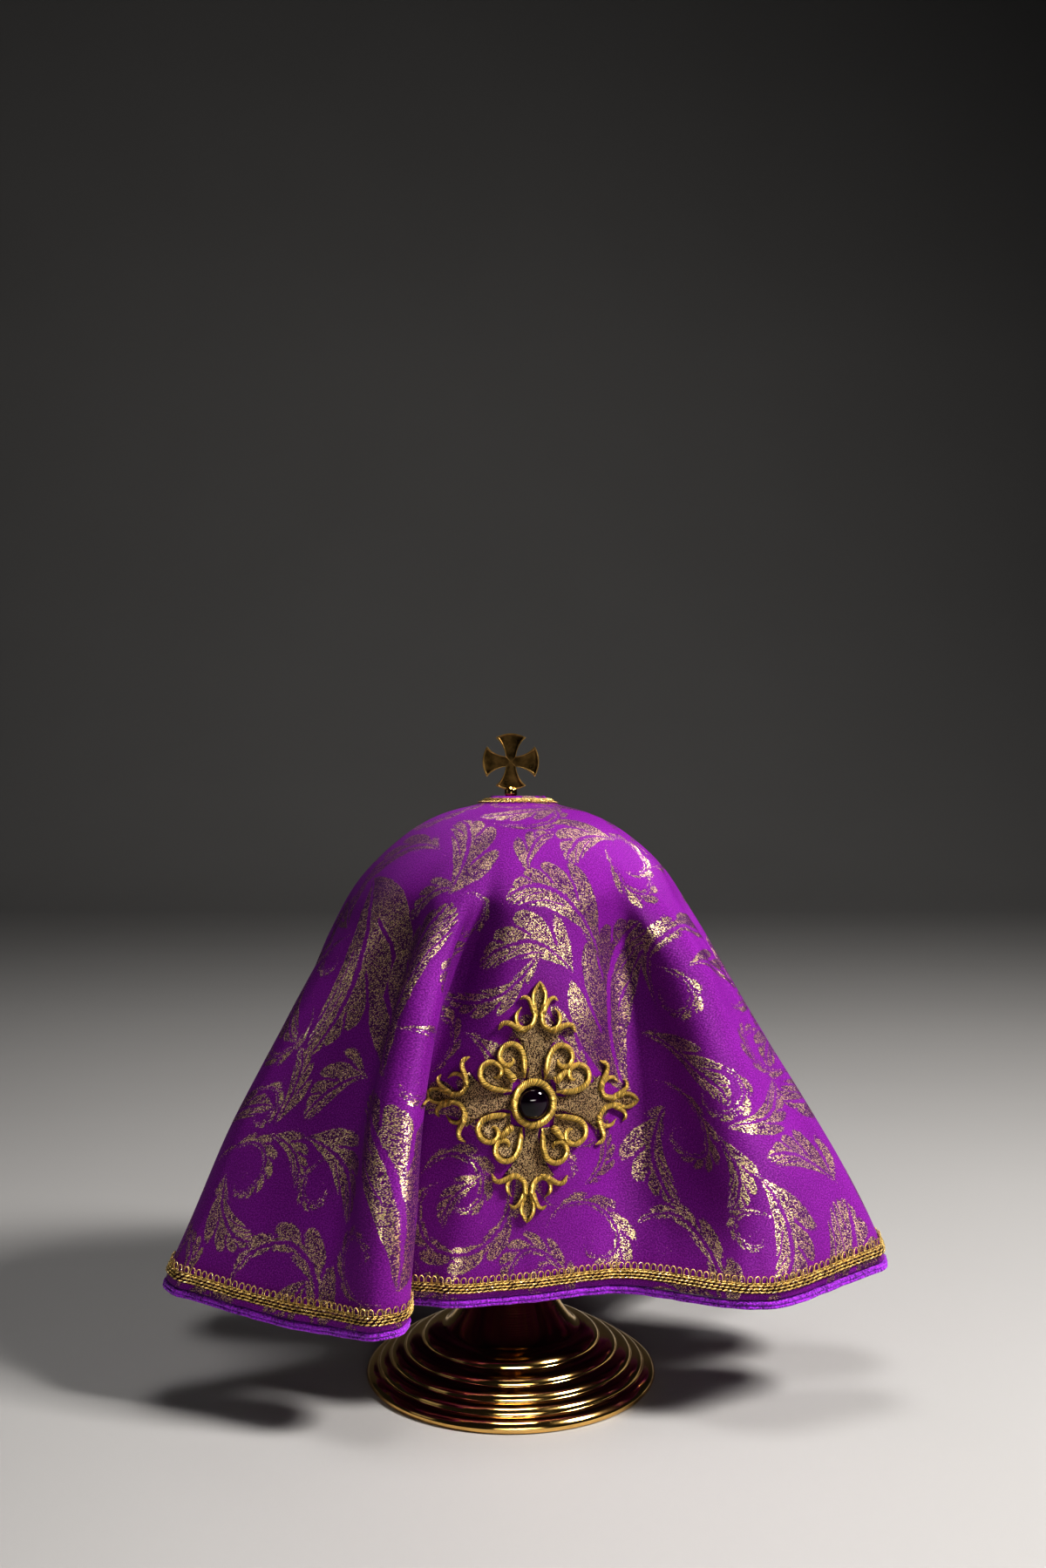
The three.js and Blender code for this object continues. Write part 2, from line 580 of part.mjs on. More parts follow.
group.add(finish(makeFinial(), 'lid_finial', COLOURS.gilt, 0.25, 1));

export default group;
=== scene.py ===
"""A brocade ciborium veil draped over its ciborium. Metres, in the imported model's frame."""

import cmath
import math
import random

import bpy
import numpy as np
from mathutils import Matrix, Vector
from mathutils.bvhtree import BVHTree


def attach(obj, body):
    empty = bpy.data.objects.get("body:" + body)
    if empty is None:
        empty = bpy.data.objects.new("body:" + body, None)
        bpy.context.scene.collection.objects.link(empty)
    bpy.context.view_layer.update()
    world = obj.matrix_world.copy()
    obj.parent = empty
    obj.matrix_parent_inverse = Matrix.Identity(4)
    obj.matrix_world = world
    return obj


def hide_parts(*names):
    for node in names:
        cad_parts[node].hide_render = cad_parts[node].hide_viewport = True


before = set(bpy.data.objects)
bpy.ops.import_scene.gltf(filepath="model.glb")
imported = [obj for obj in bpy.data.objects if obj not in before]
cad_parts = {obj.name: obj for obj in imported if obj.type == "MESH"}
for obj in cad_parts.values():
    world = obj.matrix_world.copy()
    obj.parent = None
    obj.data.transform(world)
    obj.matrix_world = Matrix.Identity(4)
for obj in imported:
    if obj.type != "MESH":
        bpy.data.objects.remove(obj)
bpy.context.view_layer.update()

bl_info = {
    "name": "Ciborium veil",
    "version": (1, 0, 0),
    "blender": (4, 5, 0),
    "location": "View3D > Sidebar > Ciborium veil",
    "description": "Builds a draped brocade ciborium veil, its trims and the ciborium under it",
    "category": "Object",
}

MM = 0.001

# The drape, in millimetres, as in the part's source.
NECK_RADIUS = 10.5
NECK_OFFSET = (3.0, 6.0)
CROWN_HEIGHT = 235.4
CROWN_SHIFT = 2.5
RIM_RADIUS = 63.0
RIM_DROP = 30.0
CROWN_POWER = 2.7
CROWN_ROWS = 23
SKIRT_ROWS = 66
ARC_STEP = math.radians(11)
RUN_STEP = 3.3
RIM_SOFTNESS = 5

# Each fold of the hem runs round an upright roll: a crest outside it, a valley inside it.
# side, x, y, roll radius, hem height, bearing at the lid's rim, reach there, how soon it falls.
FOLDS = [
    ("crest", -123, -31, 12, 49.6, 205, 64, 1.1),
    ("valley", -82, -80, 22, 42.2, 237, 63, 1.7),
    ("crest", -51, -59, 11.5, 44, 254, 65.5, 2.8),
    ("valley", -62, -41, 6, 45, 262, 63, 1),
    ("crest", -20, -26, 23, 47.5, 273, 64, 1.1),
    ("valley", 42, -65, 25, 50, 308, 62.5, 1.4),
    ("crest", 94, -29, 30, 50.6, 322, 66, 1.4),
    ("crest", 138, -32, 9.5, 59, 334, 67.5, 1.18),
    ("valley", 84, -16, 6, 48, 349, 63, 1.1),
    ("crest", 133, 5, 15, 58, 369, 67, 1.12),
    ("valley", 86, 37, 9, 46, 392, 63, 1.2),
    ("crest", 104, 88, 18, 57, 414, 66, 1.2),
    ("valley", 47, 73, 10, 45, 434, 63, 1.2),
    ("crest", 8, 126, 20, 58, 452, 66, 1.2),
    ("valley", -30, 73, 10, 45, 476, 63, 1.2),
    ("crest", -84, 103, 18, 57, 498, 66, 1.2),
    ("valley", -76, 58, 8, 46, 518, 63, 1.2),
    ("crest", -117, 42, 15, 56, 536, 64.5, 1.1),
    ("valley", -84, 11, 8, 47, 551, 63, 1.1),
]

# Soft troughs and ridges between the main folds: where along the hem, counted in folds, how wide in
# folds, how deep in millimetres, inward below zero, and where from rim to hem each starts and ends.
CREASES = [
    (0.98, 0.40, -8.0, 0.02, 0.97),
    (1.74, 0.36, 5.5, 0.08, 0.97),
    (3.05, 0.44, -5.0, 0.02, 0.50),
    (2.45, 0.22, -2.0, 0.30, 0.90),
    (4.72, 0.26, 3.4, 0.15, 0.95),
    (5.40, 0.46, -12.0, 0.06, 0.97),
    (6.38, 0.32, 5.0, 0.06, 0.92),
    (7.80, 1.60, 2.2, -0.02, 0.38),
    (18.2, 1.50, 3.6, -0.02, 0.38),
    (0.10, 0.25, 3.0, 0.15, 0.85),
    (6.60, 0.25, -3.0, 0.20, 0.85),
]

# How the braid stands the cloth up round the neck: a broad rise and a small lip, each with its spread.
NECK_RISE, NECK_SPREAD = 1.9, 5.0
LIP_RISE, LIP_SPREAD = 1.7, 1.4

# The hem's braid, in millimetres and as heights above the hem, and the neck's, which is narrower.
# A strand whose third number is TAPE_MARK is the dark tape behind the stitches.
TAPE_LOW, TAPE_HIGH = 2.5, 6.3
CHAIN_STITCH, CHAIN_ROWS, CHAIN_FIRST, CHAIN_GAP = 2.0, 3, 0.72, 1.2
LOOP_PITCH, HEADING_PITCH = 2.7, 1.8
TAPE_STEPS = 460
TAPE_MARK = 40.0
NECK_BRAID_INNER = 12.0
NECK_BRAID_SPREAD, NECK_BRAID_SCALE = 0.62, 0.66

# The rolled binding under the hem: two rolls as (centre, radius), the fold under them and their top.
BINDING_ROLLS = ((-1.45, 0.95), (-2.85, 0.85))
BINDING_PLUMP = 1.65
BINDING_FOLD, BINDING_TOP = -3.62, -0.55

# The embroidered cross in its own plane, in millimetres. Its lean and its stretch, across and up,
# are set to the photo, so it is narrower and taller here than in the part's source.
CROSS_CENTRE = (8.5, 124.3)
CROSS_LEAN = math.radians(3.3)
CROSS_STRETCH = (0.91, 1.03)

# Raised cords of one arm of the cross: points (along the arm, across it) and thickness along it.
ARM_CORDS = [
    ([(36.4, 1.2), (33, 1.5), (30, 2.3), (28.3, 4.8), (28.7, 7.6), (31, 9.1), (33.6, 8.9), (36.0, 7.0)],
     (1.35, 0.8)),
    ([(27.4, 4.6), (28.4, 8.4), (30.0, 11.8), (29.8, 14.4), (27.2, 16.0)], (1.45, 0.95)),
    ([(33.4, 1.6), (36.4, 2.8), (39.2, 4.4), (40.0, 6.2), (38.9, 8.0)], (1.25, 0.75)),
    ([(35.6, 0.9), (38.2, 2.4), (41.4, 2.5), (44.0, 1.2), (45.9, 0.0)], (0.95, 0.8)),
]
# One of the two facing scrolls between two arms; the other is its mirror across the diagonal.
SCROLL_CORD = (
    [(9.4, 4.4), (13, 4.7), (17.4, 5.3), (21, 7.2), (22.4, 10.4), (21.2, 13.6), (18, 15.2),
     (15, 13.9), (14.2, 11.2), (16, 9.3), (18.2, 10.3)],
    (1.35, 1.1),
)
BUD_CORD = ([(8.6, 8.6), (11, 11), (13.4, 13.4)], (1.9, 1.2))
CORD_SCALE = 0.92
# The stitched ground of an arm's root and of its flower, as (along, half width).
ARM_GROUNDS = [
    [(9, 3.2), (12.5, 2.6), (16, 3.6), (19, 4.7), (22, 6.2), (25, 8.4), (27.2, 10.4), (28.6, 8.2)],
    [(28.4, 2.6), (31, 1.9), (34, 1.6), (37, 2.1), (39.5, 2.6), (42, 2.4), (44.2, 1.2), (45.4, 0.3)],
]
# The filled heart of one scroll, inside its cord.
SCROLL_HEART = [
    (9.4, 5.0), (13, 5.0), (17.4, 5.6), (20.6, 7.4), (21.9, 10.4), (20.8, 13.4), (18, 14.8), (15, 13.9),
    (12.6, 12.0), (9.8, 9.0), (9.0, 7.0), (9.4, 5.0),
]
RING_RADIUS, RING_LIFT, RING_THICKNESS = 8.15, 1.35, 1.5
RING_STEPS = 73
# The stone's rings of corners: share of its radius, height over the cloth, and turn in half sides.
STONE_RADIUS = 6.35
STONE_SIDES = 16
STONE_PROFILE = [
    (0.9, 0.5, 0), (1.0, 1.6, 0), (0.95, 2.4, 0.5), (0.76, 3.6, 0), (0.50, 4.5, 0.5), (0.22, 4.95, 0),
]

# Rounded mouldings of the foot: outer radius, bottom, inner radius, top. The profiles after it are
# points of radius and height, in millimetres.
FOOT_FLAT_RADIUS = 59.4
FOOT_STEPS = [
    (60.0, 1.2, 55.4, 4.6), (54.9, 5.0, 50.6, 7.8), (50.0, 8.2, 44.8, 11.2), (44.0, 11.6, 37.8, 14.8),
    (36.8, 15.2, 28.6, 19.4),
]
STEM_PROFILE = [
    (26.8, 20.4), (24.0, 24), (21.4, 27.6), (19.2, 31.4), (17.0, 35.8), (15, 41), (12.1, 48), (9.6, 56),
    (7.1, 65), (5.2, 74),
    (4.5, 83), (4.4, 92), (6.4, 94.6), (10.2, 96.8), (12.6, 99), (13.7, 101.4), (14, 104),
    (13.7, 106.6), (12.6, 109), (10.2, 111.2), (6.4, 113.4), (4.4, 116), (4.6, 120), (5.4, 124),
    (7.2, 126), (10, 127.4), (0, 127.4),
]
CUP_PROFILE = [
    (0, 127.7), (10, 127.7), (18.6, 129.4), (26, 132.4), (33.6, 137.2), (40, 143), (45.4, 150),
    (49.4, 158), (52.4, 167), (54.4, 176), (55.4, 188), (56, 200.6), (54.2, 200.6), (53.6, 188),
    (52.6, 176.4), (50.6, 167.6), (47.6, 159), (43.7, 151.4), (38.5, 144.8), (32.4, 139.1),
    (25.2, 134.3), (18, 131.4), (10, 129.6), (0, 129.5),
]
COLLAR_PROFILE = [
    (0, 234.1), (3.6, 234.1), (3.5, 235.6), (3.4, 237.2), (1.9, 238), (2.7, 238.9), (2.1, 239.6),
    (2.7, 240.4), (2.6, 242.4), (1.6, 243.6), (0, 243.6),
]
FINIAL_HEIGHT = 254.0
FINIAL_RADIUS = 11.8
FINIAL_THICKNESS = 2.2
FINIAL_SUNK = 0.32
LID_EDGE_RADIUS, LID_EDGE_HEIGHT, LID_EDGE_DEPTH = 58.8, 203.5, 2.6
LID_CLEARANCE_MIDDLE, LID_CLEARANCE_EDGE = 1.6, 1.6
LID_WALL = 2.4

# The camera stands where the photo's did. Its lens and shifts are in pixels of the photo's frame.
PHOTO_HEIGHT = 1799.0
FOCAL_PIXELS = 1725.0
SHIFT_PIXELS = (14.0, -39.5)
CAMERA_PLACE = (0, -0.628, 0.259)
SENSOR_HEIGHT = 36.0

# The woven foliage on the flat cloth, in millimetres: where each leaf or scroll starts and ends,
# how far it turns round its eye, how fast it opens, its hand, its two widths, and its lobes.
# These are listed here, and fill_repeat finds the others.
CLOTH_REPEAT = (246.0, 214.0)
LEAVES_PER_FACE = 3
PLACED_LEAVES = [
    (-60, -140, -28, -80, 1.1, 1, 1, 0.5, 0.5, 4),
    (-82, -216, -76, -138, 1.1, 1, -1, 0.48, 0.46, 4.2),
    (-58, -172, -24, -138, 1.6, 0.8, -1, 0.36, 0.36, 3.4),
    (22, -168, 2, -196, 5.2, 0.26, 1, 0.34, 0.2, 1.7),
    (62, -222, 92, -190, 5.2, 0.26, -1, 0.34, 0.22, 1.7),
    (56, -92, -2, -82, 1.4, 0.9, -1, 0.44, 0.42, 3.8),
    (22, -98, -18, -122, 1.8, 0.8, 1, 0.34, 0.3, 3.2),
    (82, -138, 66, -62, 1.2, 0.95, 1, 0.46, 0.44, 4),
    (86, -98, 108, -74, 5.4, 0.25, 1, 0.36, 0.22, 1.7),
    (78, -112, 118, -118, 1.4, 0.9, 1, 0.42, 0.4, 3.8),
    (-68, -34, -108, -106, 1.2, 0.95, 1, 0.5, 0.42, 4),
    (-34, -50, -76, -30, 1.5, 0.9, -1, 0.44, 0.42, 3.6),
    (60, -156, 26, -126, 1.5, 0.8, 1, 0.38, 0.38, 3.4),
    (94, -136, 106, -176, 1.6, 0.8, -1, 0.44, 0.42, 3.4),
    (-4, -136, 18, -162, 1.6, 0.8, 1, 0.38, 0.38, 3.4),
    (-114, -142, -98, -186, 1.5, 0.8, 1, 0.42, 0.4, 3.4),
    (20, -14, -16, -34, 1.6, 0.8, 1, 0.38, 0.36, 3.4),
    (128, -200, 104, -232, 1.5, 0.8, -1, 0.42, 0.4, 3.4),
    (-12, -100, -34, -116, 1.6, 0.8, -1, 0.38, 0.36, 3.2),
    (118, -128, 134, -98, 1.4, 0.9, -1, 0.44, 0.42, 3.6),
    (-18, -206, -40, -218, 4.6, 0.3, 1, 0.36, 0.24, 1.8),
    (-94, -28, -116, -14, 1.5, 0.8, 1, 0.42, 0.4, 3.4),
    (-10, -42, 4, -22, 4.6, 0.3, -1, 0.34, 0.22, 1.8),
]
# Where a leaf is fullest, as a power, then its lobes' lean, sharpness, depth and least width.
LEAF_TAPER = 0.8
LOBE_LEAN, LOBE_POWER, LOBE_DEPTH, LOBE_FLOOR = 1.15, 0.5, 0.70, 0.42

# How the rest of the repeat is filled: in at most FILL_ROUNDS rounds, or until FILL_SHARE of it is
# covered, each round draws FILL_TRIES leaves or scrolls and keeps the one that covers most, less
# what it costs to lie within FILL_GAP of the others. The search takes most of the script's time.
FILL_SEED = 7
FILL_SHARE = 0.50
FILL_ROUNDS, FILL_TRIES = 70, 45
FILL_GAP, OVERLAP_COST = 2, 4.5
SMALLEST_LEAF, SMALLEST_GAIN = 60, 40


# The drape

def hem_belt():
    """Plan points of the hem, and how far along it the middle of each fold lies."""
    centres = np.array([(fold[1], fold[2]) for fold in FOLDS], float)
    signed = np.array([fold[3] if fold[0] == "crest" else -fold[3] for fold in FOLDS], float)
    gaps = np.roll(centres, -1, axis=0) - centres
    lean = np.arcsin((signed - np.roll(signed, -1)) / np.hypot(gaps[:, 0], gaps[:, 1]))
    bearings = np.arctan2(gaps[:, 1], gaps[:, 0]) + lean
    points, arcs = [], []

    def touch(i, bearing):
        return centres[i] + signed[i] * np.array([math.sin(bearing), -math.cos(bearing)])

    for i in range(len(FOLDS)):
        arriving, leaving = bearings[i - 1], bearings[i]
        full = 2 * math.pi
        turn = (leaving - arriving) % full if signed[i] > 0 else -((arriving - leaving) % full)
        steps = max(4, math.ceil(max(abs(turn) / ARC_STEP, abs(turn * signed[i]) / RUN_STEP)))
        first = len(points)
        points += [touch(i, arriving + turn * j / steps) for j in range(steps + 1)]
        arcs.append((first, len(points) - 1))
        following = (i + 1) % len(FOLDS)
        start, end = points[-1], touch(following, leaving)
        runs = max(1, round(float(np.linalg.norm(end - start)) / RUN_STEP))
        points += [start + (end - start) * j / runs for j in range(1, runs)]
    points = np.array(points)
    steps = np.linalg.norm(np.roll(points, -1, axis=0) - points, axis=1)
    lengths = np.concatenate([[0], np.cumsum(steps)[:-1]])
    middles = np.array([(lengths[a] + lengths[b]) / 2 for a, b in arcs])
    return points, lengths, float(steps.sum()), middles


def carry_column(lengths, whole, middles, column, full_turn=0.0):
    """A column of the fold table carried along the hem, with level joins unless it is a bearing."""
    values = np.array([fold[column] for fold in FOLDS], float)
    at = np.concatenate([[middles[-1] - whole], middles, [middles[0] + whole]])
    values = np.concatenate([[values[-1] - full_turn], values, [values[0] + full_turn]])
    i = np.clip(np.searchsorted(at, lengths, side="right") - 1, 0, len(at) - 2)
    share = (lengths - at[i]) / (at[i + 1] - at[i])
    if not full_turn:
        share = share * share * (3 - 2 * share)
    return values[i] + (values[i + 1] - values[i]) * share


def crown_height(x, y):
    """The height of the cloth over the lid, in millimetres."""
    return CROWN_HEIGHT - RIM_DROP * (np.hypot(x - CROWN_SHIFT, y) / RIM_RADIUS) ** CROWN_POWER


def neck_rise(from_neck):
    """How far the braid stands the cloth up round the neck."""
    lip = LIP_RISE * np.exp(-((from_neck / LIP_SPREAD) ** 2))
    return NECK_RISE * np.exp(-((from_neck / NECK_SPREAD) ** 2)) + lip


def sheet_normals(rows):
    around = np.roll(rows, -1, axis=1) - np.roll(rows, 1, axis=1)
    down = np.empty_like(rows)
    down[1:-1] = rows[2:] - rows[:-2]
    down[0] = rows[1] - rows[0]
    down[-1] = rows[-1] - rows[-2]
    normals = np.cross(down, around)
    return normals / np.linalg.norm(normals, axis=2, keepdims=True)


def hung_rows(belt, rim, reach, hem, hang):
    """Rows of points from the neck over the lid and down to the hem, softened where they turn down."""
    rows = []
    for station in np.linspace(0, 1, CROWN_ROWS):
        radius = NECK_RADIUS + (reach - NECK_RADIUS) * station
        x = radius * np.cos(rim) + NECK_OFFSET[0] * (1 - station)
        y = radius * np.sin(rim) + NECK_OFFSET[1] * (1 - station)
        rows.append(np.stack([x, y, crown_height(x, y)], axis=1))
    edge = rows[-1]
    for station in np.linspace(0, 1, SKIRT_ROWS + 1)[1:]:
        out = (1 - (1 - station) ** hang)[:, None]
        plan = edge[:, :2] + (belt - edge[:, :2]) * out
        rows.append(np.column_stack([plan, edge[:, 2] + (hem - edge[:, 2]) * station]))
    rows = np.array(rows)
    from_neck = np.hypot(rows[:, :, 0] - NECK_OFFSET[0], rows[:, :, 1] - NECK_OFFSET[1]) - NECK_RADIUS
    rows[:, :, 2] += neck_rise(from_neck)
    near_rim = np.exp(-(((np.arange(len(rows)) - CROWN_ROWS + 1) / 7.0) ** 2))[:, None, None]
    for _ in range(RIM_SOFTNESS):
        rows[1:-1] += 0.5 * near_rim[1:-1] * ((rows[:-2] + rows[2:]) / 2 - rows[1:-1])
    return rows


def flat_lay(rows, rim, hem_bearing, share):
    """Where each point lay on the flat cloth: its bearing turns from the rim's to the hem's."""
    steps = np.linalg.norm(np.diff(rows, axis=0), axis=2)
    out = NECK_RADIUS + np.concatenate([np.zeros((1, rows.shape[1])), np.cumsum(steps, axis=0)])
    level = np.clip((share - 0.25) / 0.75, 0, 1)
    bearing = rim[None, :] * (1 - level) + hem_bearing[None, :] * level
    return np.stack([out * np.cos(bearing), out * np.sin(bearing)], axis=2)


def hand_relief(rows, along, along_folds, share):
    """How far creases, ripples and hem puckers lift each point off the smooth drape."""
    fall = np.clip((share - 0.2) / 0.8, 0, 1)
    ripple = 0.35 * np.sin(23 * along + 1.1) + 0.28 * np.sin(41 * along + 4.0 + 1.6 * share)
    pucker = 0.20 * np.sin(118 * along + 0.7) + 0.16 * np.sin(163 * along + 2.1)
    near_hem = np.exp(-(((1 - share) / 0.09) ** 2))
    crease = np.zeros(rows.shape[:2])
    down = np.clip((np.arange(len(rows)) - CROWN_ROWS + 8) / (SKIRT_ROWS + 8), 0, 1)
    for at, width, depth, start, end in CREASES:
        away = (along_folds - at + len(FOLDS) / 2) % len(FOLDS) - len(FOLDS) / 2
        rise = np.clip((down - start) / 0.25, 0, 1) * np.clip((end + 0.05 - down) / 0.30, 0, 1)
        rise = rise * rise * (3 - 2 * rise)
        crease += depth * rise[:, None] * np.exp(-((away / width) ** 2))[None, :]
    return crease + ripple * fall * fall + pucker * near_hem


def drape():
    """The middle of the cloth as rows of points from neck to hem, its normals, and where each point
    lay on the flat cloth before it was hung."""
    belt, lengths, whole, middles = hem_belt()
    rim = np.radians(carry_column(lengths, whole, middles, 5, 360.0))
    reach, hem, hang = (carry_column(lengths, whole, middles, column) for column in (6, 4, 7))
    rows = hung_rows(belt, rim, reach, hem, hang)
    share = np.linspace(0, 1, len(rows))[:, None]
    hem_bearing = 2 * math.pi * lengths / whole
    hem_bearing = hem_bearing + np.mean(rim - hem_bearing)
    flat = flat_lay(rows, rim, hem_bearing, share)
    fold_marks = np.concatenate([[middles[-1] - whole], middles, [middles[0] + whole]])
    along_folds = np.interp(lengths, fold_marks, np.arange(-1, len(FOLDS) + 1))
    relief = hand_relief(rows, lengths / whole * 2 * math.pi, along_folds, share)
    rows = rows + sheet_normals(rows) * relief[:, :, None]
    return rows * MM, sheet_normals(rows), flat * MM


class Veil:
    """The drape, worked out once and used by every trim that lies on it."""

    rows = normals = flat = hem = surface = None

    @classmethod
    def hang(cls):
        if cls.rows is not None:
            return
        cls.rows, cls.normals, cls.flat = drape()
        edge = cls.rows[-1]
        up = cls.rows[-4] - edge
        up /= np.linalg.norm(up, axis=1, keepdims=True)
        out = cls.normals[-1] - up * np.sum(cls.normals[-1] * up, axis=1, keepdims=True)
        out /= np.linalg.norm(out, axis=1, keepdims=True)
        cls.hem = (edge, up, out)
        front = cls.rows + cls.normals * cloth_thickness() / 2
        flat_points = [Vector(point) for point in front.reshape(-1, 3)]
        cls.surface = BVHTree.FromPolygons(flat_points, grid_faces(*front.shape[:2]))

    @classmethod
    def hem_frames(cls, count, height):
        """Evenly spaced points along a line at that height above the hem, with its directions."""
        edge, up, out = cls.hem
        line = edge + up * height
        closed = np.vstack([line, line[:1]])
        lengths = np.concatenate([[0], np.cumsum(np.linalg.norm(np.diff(closed, axis=0), axis=1))])
        at = np.arange(count) * lengths[-1] / count

        def carried(values):
            values = np.vstack([values, values[:1]])
            return np.stack([np.interp(at, lengths, values[:, k]) for k in range(3)], axis=1)

        place, rise, face = carried(line), carried(up), carried(out)
        along = np.roll(place, -1, axis=0) - np.roll(place, 1, axis=0)
        return squared_frames(place, along, rise, face)

    @classmethod
    def hem_length(cls, height):
        edge, up, _ = cls.hem
        line = edge + up * height
        return float(np.linalg.norm(np.roll(line, -1, axis=0) - line, axis=1).sum())

    @classmethod
    def panel_point(cls, x, z):
        """The cloth's outer face straight behind a point of the front view, and its normal."""
        hit, normal, _, _ = cls.surface.ray_cast(Vector((x, -0.5, z)), Vector((0, 1, 0)))
        if hit is None:
            raise RuntimeError("the cross lies off its panel of cloth")
        return np.array(hit), np.array(normal if normal.y < 0 else -normal)


def squared_frames(place, along, rise, face):
    """The same frames with their three directions square to each other."""
    along = along / np.linalg.norm(along, axis=1, keepdims=True)
    face = face - along * np.sum(face * along, axis=1, keepdims=True)
    face /= np.linalg.norm(face, axis=1, keepdims=True)
    rise_square = np.cross(face, along)
    flip = np.sign(np.sum(rise_square * rise, axis=1, keepdims=True))
    return place, along, rise_square * flip, face


def grid_faces(height, width):
    """Quads between rows of points, each row closed on itself."""
    faces = []
    for r in range(height - 1):
        for i in range(width):
            j = (i + 1) % width
            a, b = r * width, (r + 1) * width
            faces.append((a + i, b + i, b + j, a + j))
    return faces


# Making meshes

def sizes():
    return bpy.context.scene.veil_sizes


def colours():
    return bpy.context.scene.veil_colours


def cloth_thickness():
    return sizes().cloth_thickness


def clear_selection():
    if bpy.context.object is not None and bpy.context.object.mode != "OBJECT":
        bpy.ops.object.mode_set(mode="OBJECT")
    bpy.ops.object.select_all(action="DESELECT")


def select_only(piece):
    clear_selection()
    bpy.context.view_layer.objects.active = piece
    piece.select_set(True)


def face_outward(merge=False):
    """Turn every face of the active mesh outward, after its doubles are merged where asked."""
    bpy.ops.object.mode_set(mode="EDIT")
    bpy.ops.mesh.select_all(action="SELECT")
    if merge:
        bpy.ops.mesh.remove_doubles(threshold=1e-6)
    bpy.ops.mesh.normals_make_consistent(inside=False)
    bpy.ops.object.mode_set(mode="OBJECT")


def mesh_piece(name, points, faces, strand=None, smooth=True):
    """A mesh object at the origin. strand is a vector kept on each point for its material."""
    mesh = bpy.data.meshes.new(name)
    mesh.from_pydata([tuple(point) for point in points], [], faces)
    if strand is not None:
        layer = mesh.attributes.new("strand", "FLOAT_VECTOR", "POINT")
        layer.data.foreach_set("vector", np.asarray(strand, np.float32).ravel())
    mesh.update()
    piece = bpy.data.objects.new(name, mesh)
    bpy.context.collection.objects.link(piece)
    select_only(piece)
    face_outward()
    if smooth:
        bpy.ops.object.shade_smooth()
    return piece


def finish_piece(piece, material, slot, *nodes):
    piece.data.materials.clear()
    piece.data.materials.append(material)
    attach(piece, "root")
    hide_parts(*nodes)
    return piece


def ring_of_rings(rings):
    """Points and faces of closed rings, each joined to the next and the last to the first."""
    rings = np.asarray(rings)
    count, width = rings.shape[:2]
    points = rings.reshape(-1, 3)
    faces = grid_faces(count, width)
    last = (count - 1) * width
    for i in range(width):
        j = (i + 1) % width
        faces.append((last + i, i, j, last + j))
    return points, faces


def stamp(template, faces, frames, lift=0.0):
    """A small shape set down at each frame: its points are along, up and out, in metres."""
    place, along, up, out = frames
    template = np.asarray(template)
    count = len(template)
    points = (place[:, None, :] + along[:, None, :] * template[None, :, :1]
              + up[:, None, :] * template[None, :, 1:2]
              + out[:, None, :] * (template[None, :, 2:3] + lift))
    every = [tuple(i + n * count for i in face) for n in range(len(place)) for face in faces]
    order = np.arange(len(place)) % 7
    strand = np.broadcast_to(template[None] / MM, points.shape).copy()
    strand[:, :, 2] = order[:, None]
    return points.reshape(-1, 3), every, strand.reshape(-1, 3)


def joined(parts):
    """Several parts as one set of points, faces and strands."""
    points, faces, strands, start = [], [], [], 0
    for part_points, part_faces, strand in parts:
        points.append(part_points)
        strands.append(strand)
        faces += [tuple(i + start for i in face) for face in part_faces]
        start += len(part_points)
    return np.vstack(points), faces, np.vstack(strands)


def bead(length, height, depth, lean=0.0, sides=6):
    """A plump stitch: rings of points along its length, in the plane of the cloth."""
    stations = [(-1, 0.3), (-0.6, 0.85), (0, 1.0), (0.6, 0.85), (1, 0.3)]
    points = []
    for station, size in stations:
        for k in range(sides):
            turn = 2 * math.pi * k / sides
            points.append((station * length / 2, height / 2 * size * math.cos(turn)
                           + station * lean, depth / 2 * size * math.sin(turn)))
    faces = grid_faces(len(stations), sides)
    faces.append(tuple(range(sides)))
    faces.append(tuple(range(len(points) - sides, len(points)))[::-1])
    return np.array(points) * MM, faces


def tube(path, radii, sides=8, up=None):
    """A closed tube along an open path. Its strand is the length along it and the turn round it."""
    path = np.asarray(path, float)
    tangents = np.gradient(path, axis=0)
    tangents /= np.linalg.norm(tangents, axis=1, keepdims=True)
    up = np.broadcast_to(np.asarray(up if up is not None else (0, 0, 1.0)), path.shape)
    side = np.cross(tangents, up)
    side /= np.linalg.norm(side, axis=1, keepdims=True)
    top = np.cross(side, tangents)
    turns = 2 * math.pi * np.arange(sides) / sides
    radii = np.asarray(radii, float)
    points = (path[:, None] + side[:, None] * (np.cos(turns)[None, :] * radii[:, None])[:, :, None]
              + top[:, None] * (np.sin(turns)[None, :] * radii[:, None])[:, :, None])
    lengths = np.concatenate([[0], np.cumsum(np.linalg.norm(np.diff(path, axis=0), axis=1))]) / MM
    strand = np.zeros(points.shape)
    strand[:, :, 0] = lengths[:, None]
    strand[:, :, 1] = np.cos(turns)[None, :]
    strand[:, :, 2] = np.sin(turns)[None, :]
    faces = grid_faces(len(path), sides)
    count = len(path) * sides
    faces.append(tuple(range(sides)))
    faces.append(tuple(range(count - sides, count))[::-1])
    return points.reshape(-1, 3), faces, strand.reshape(-1, 3)


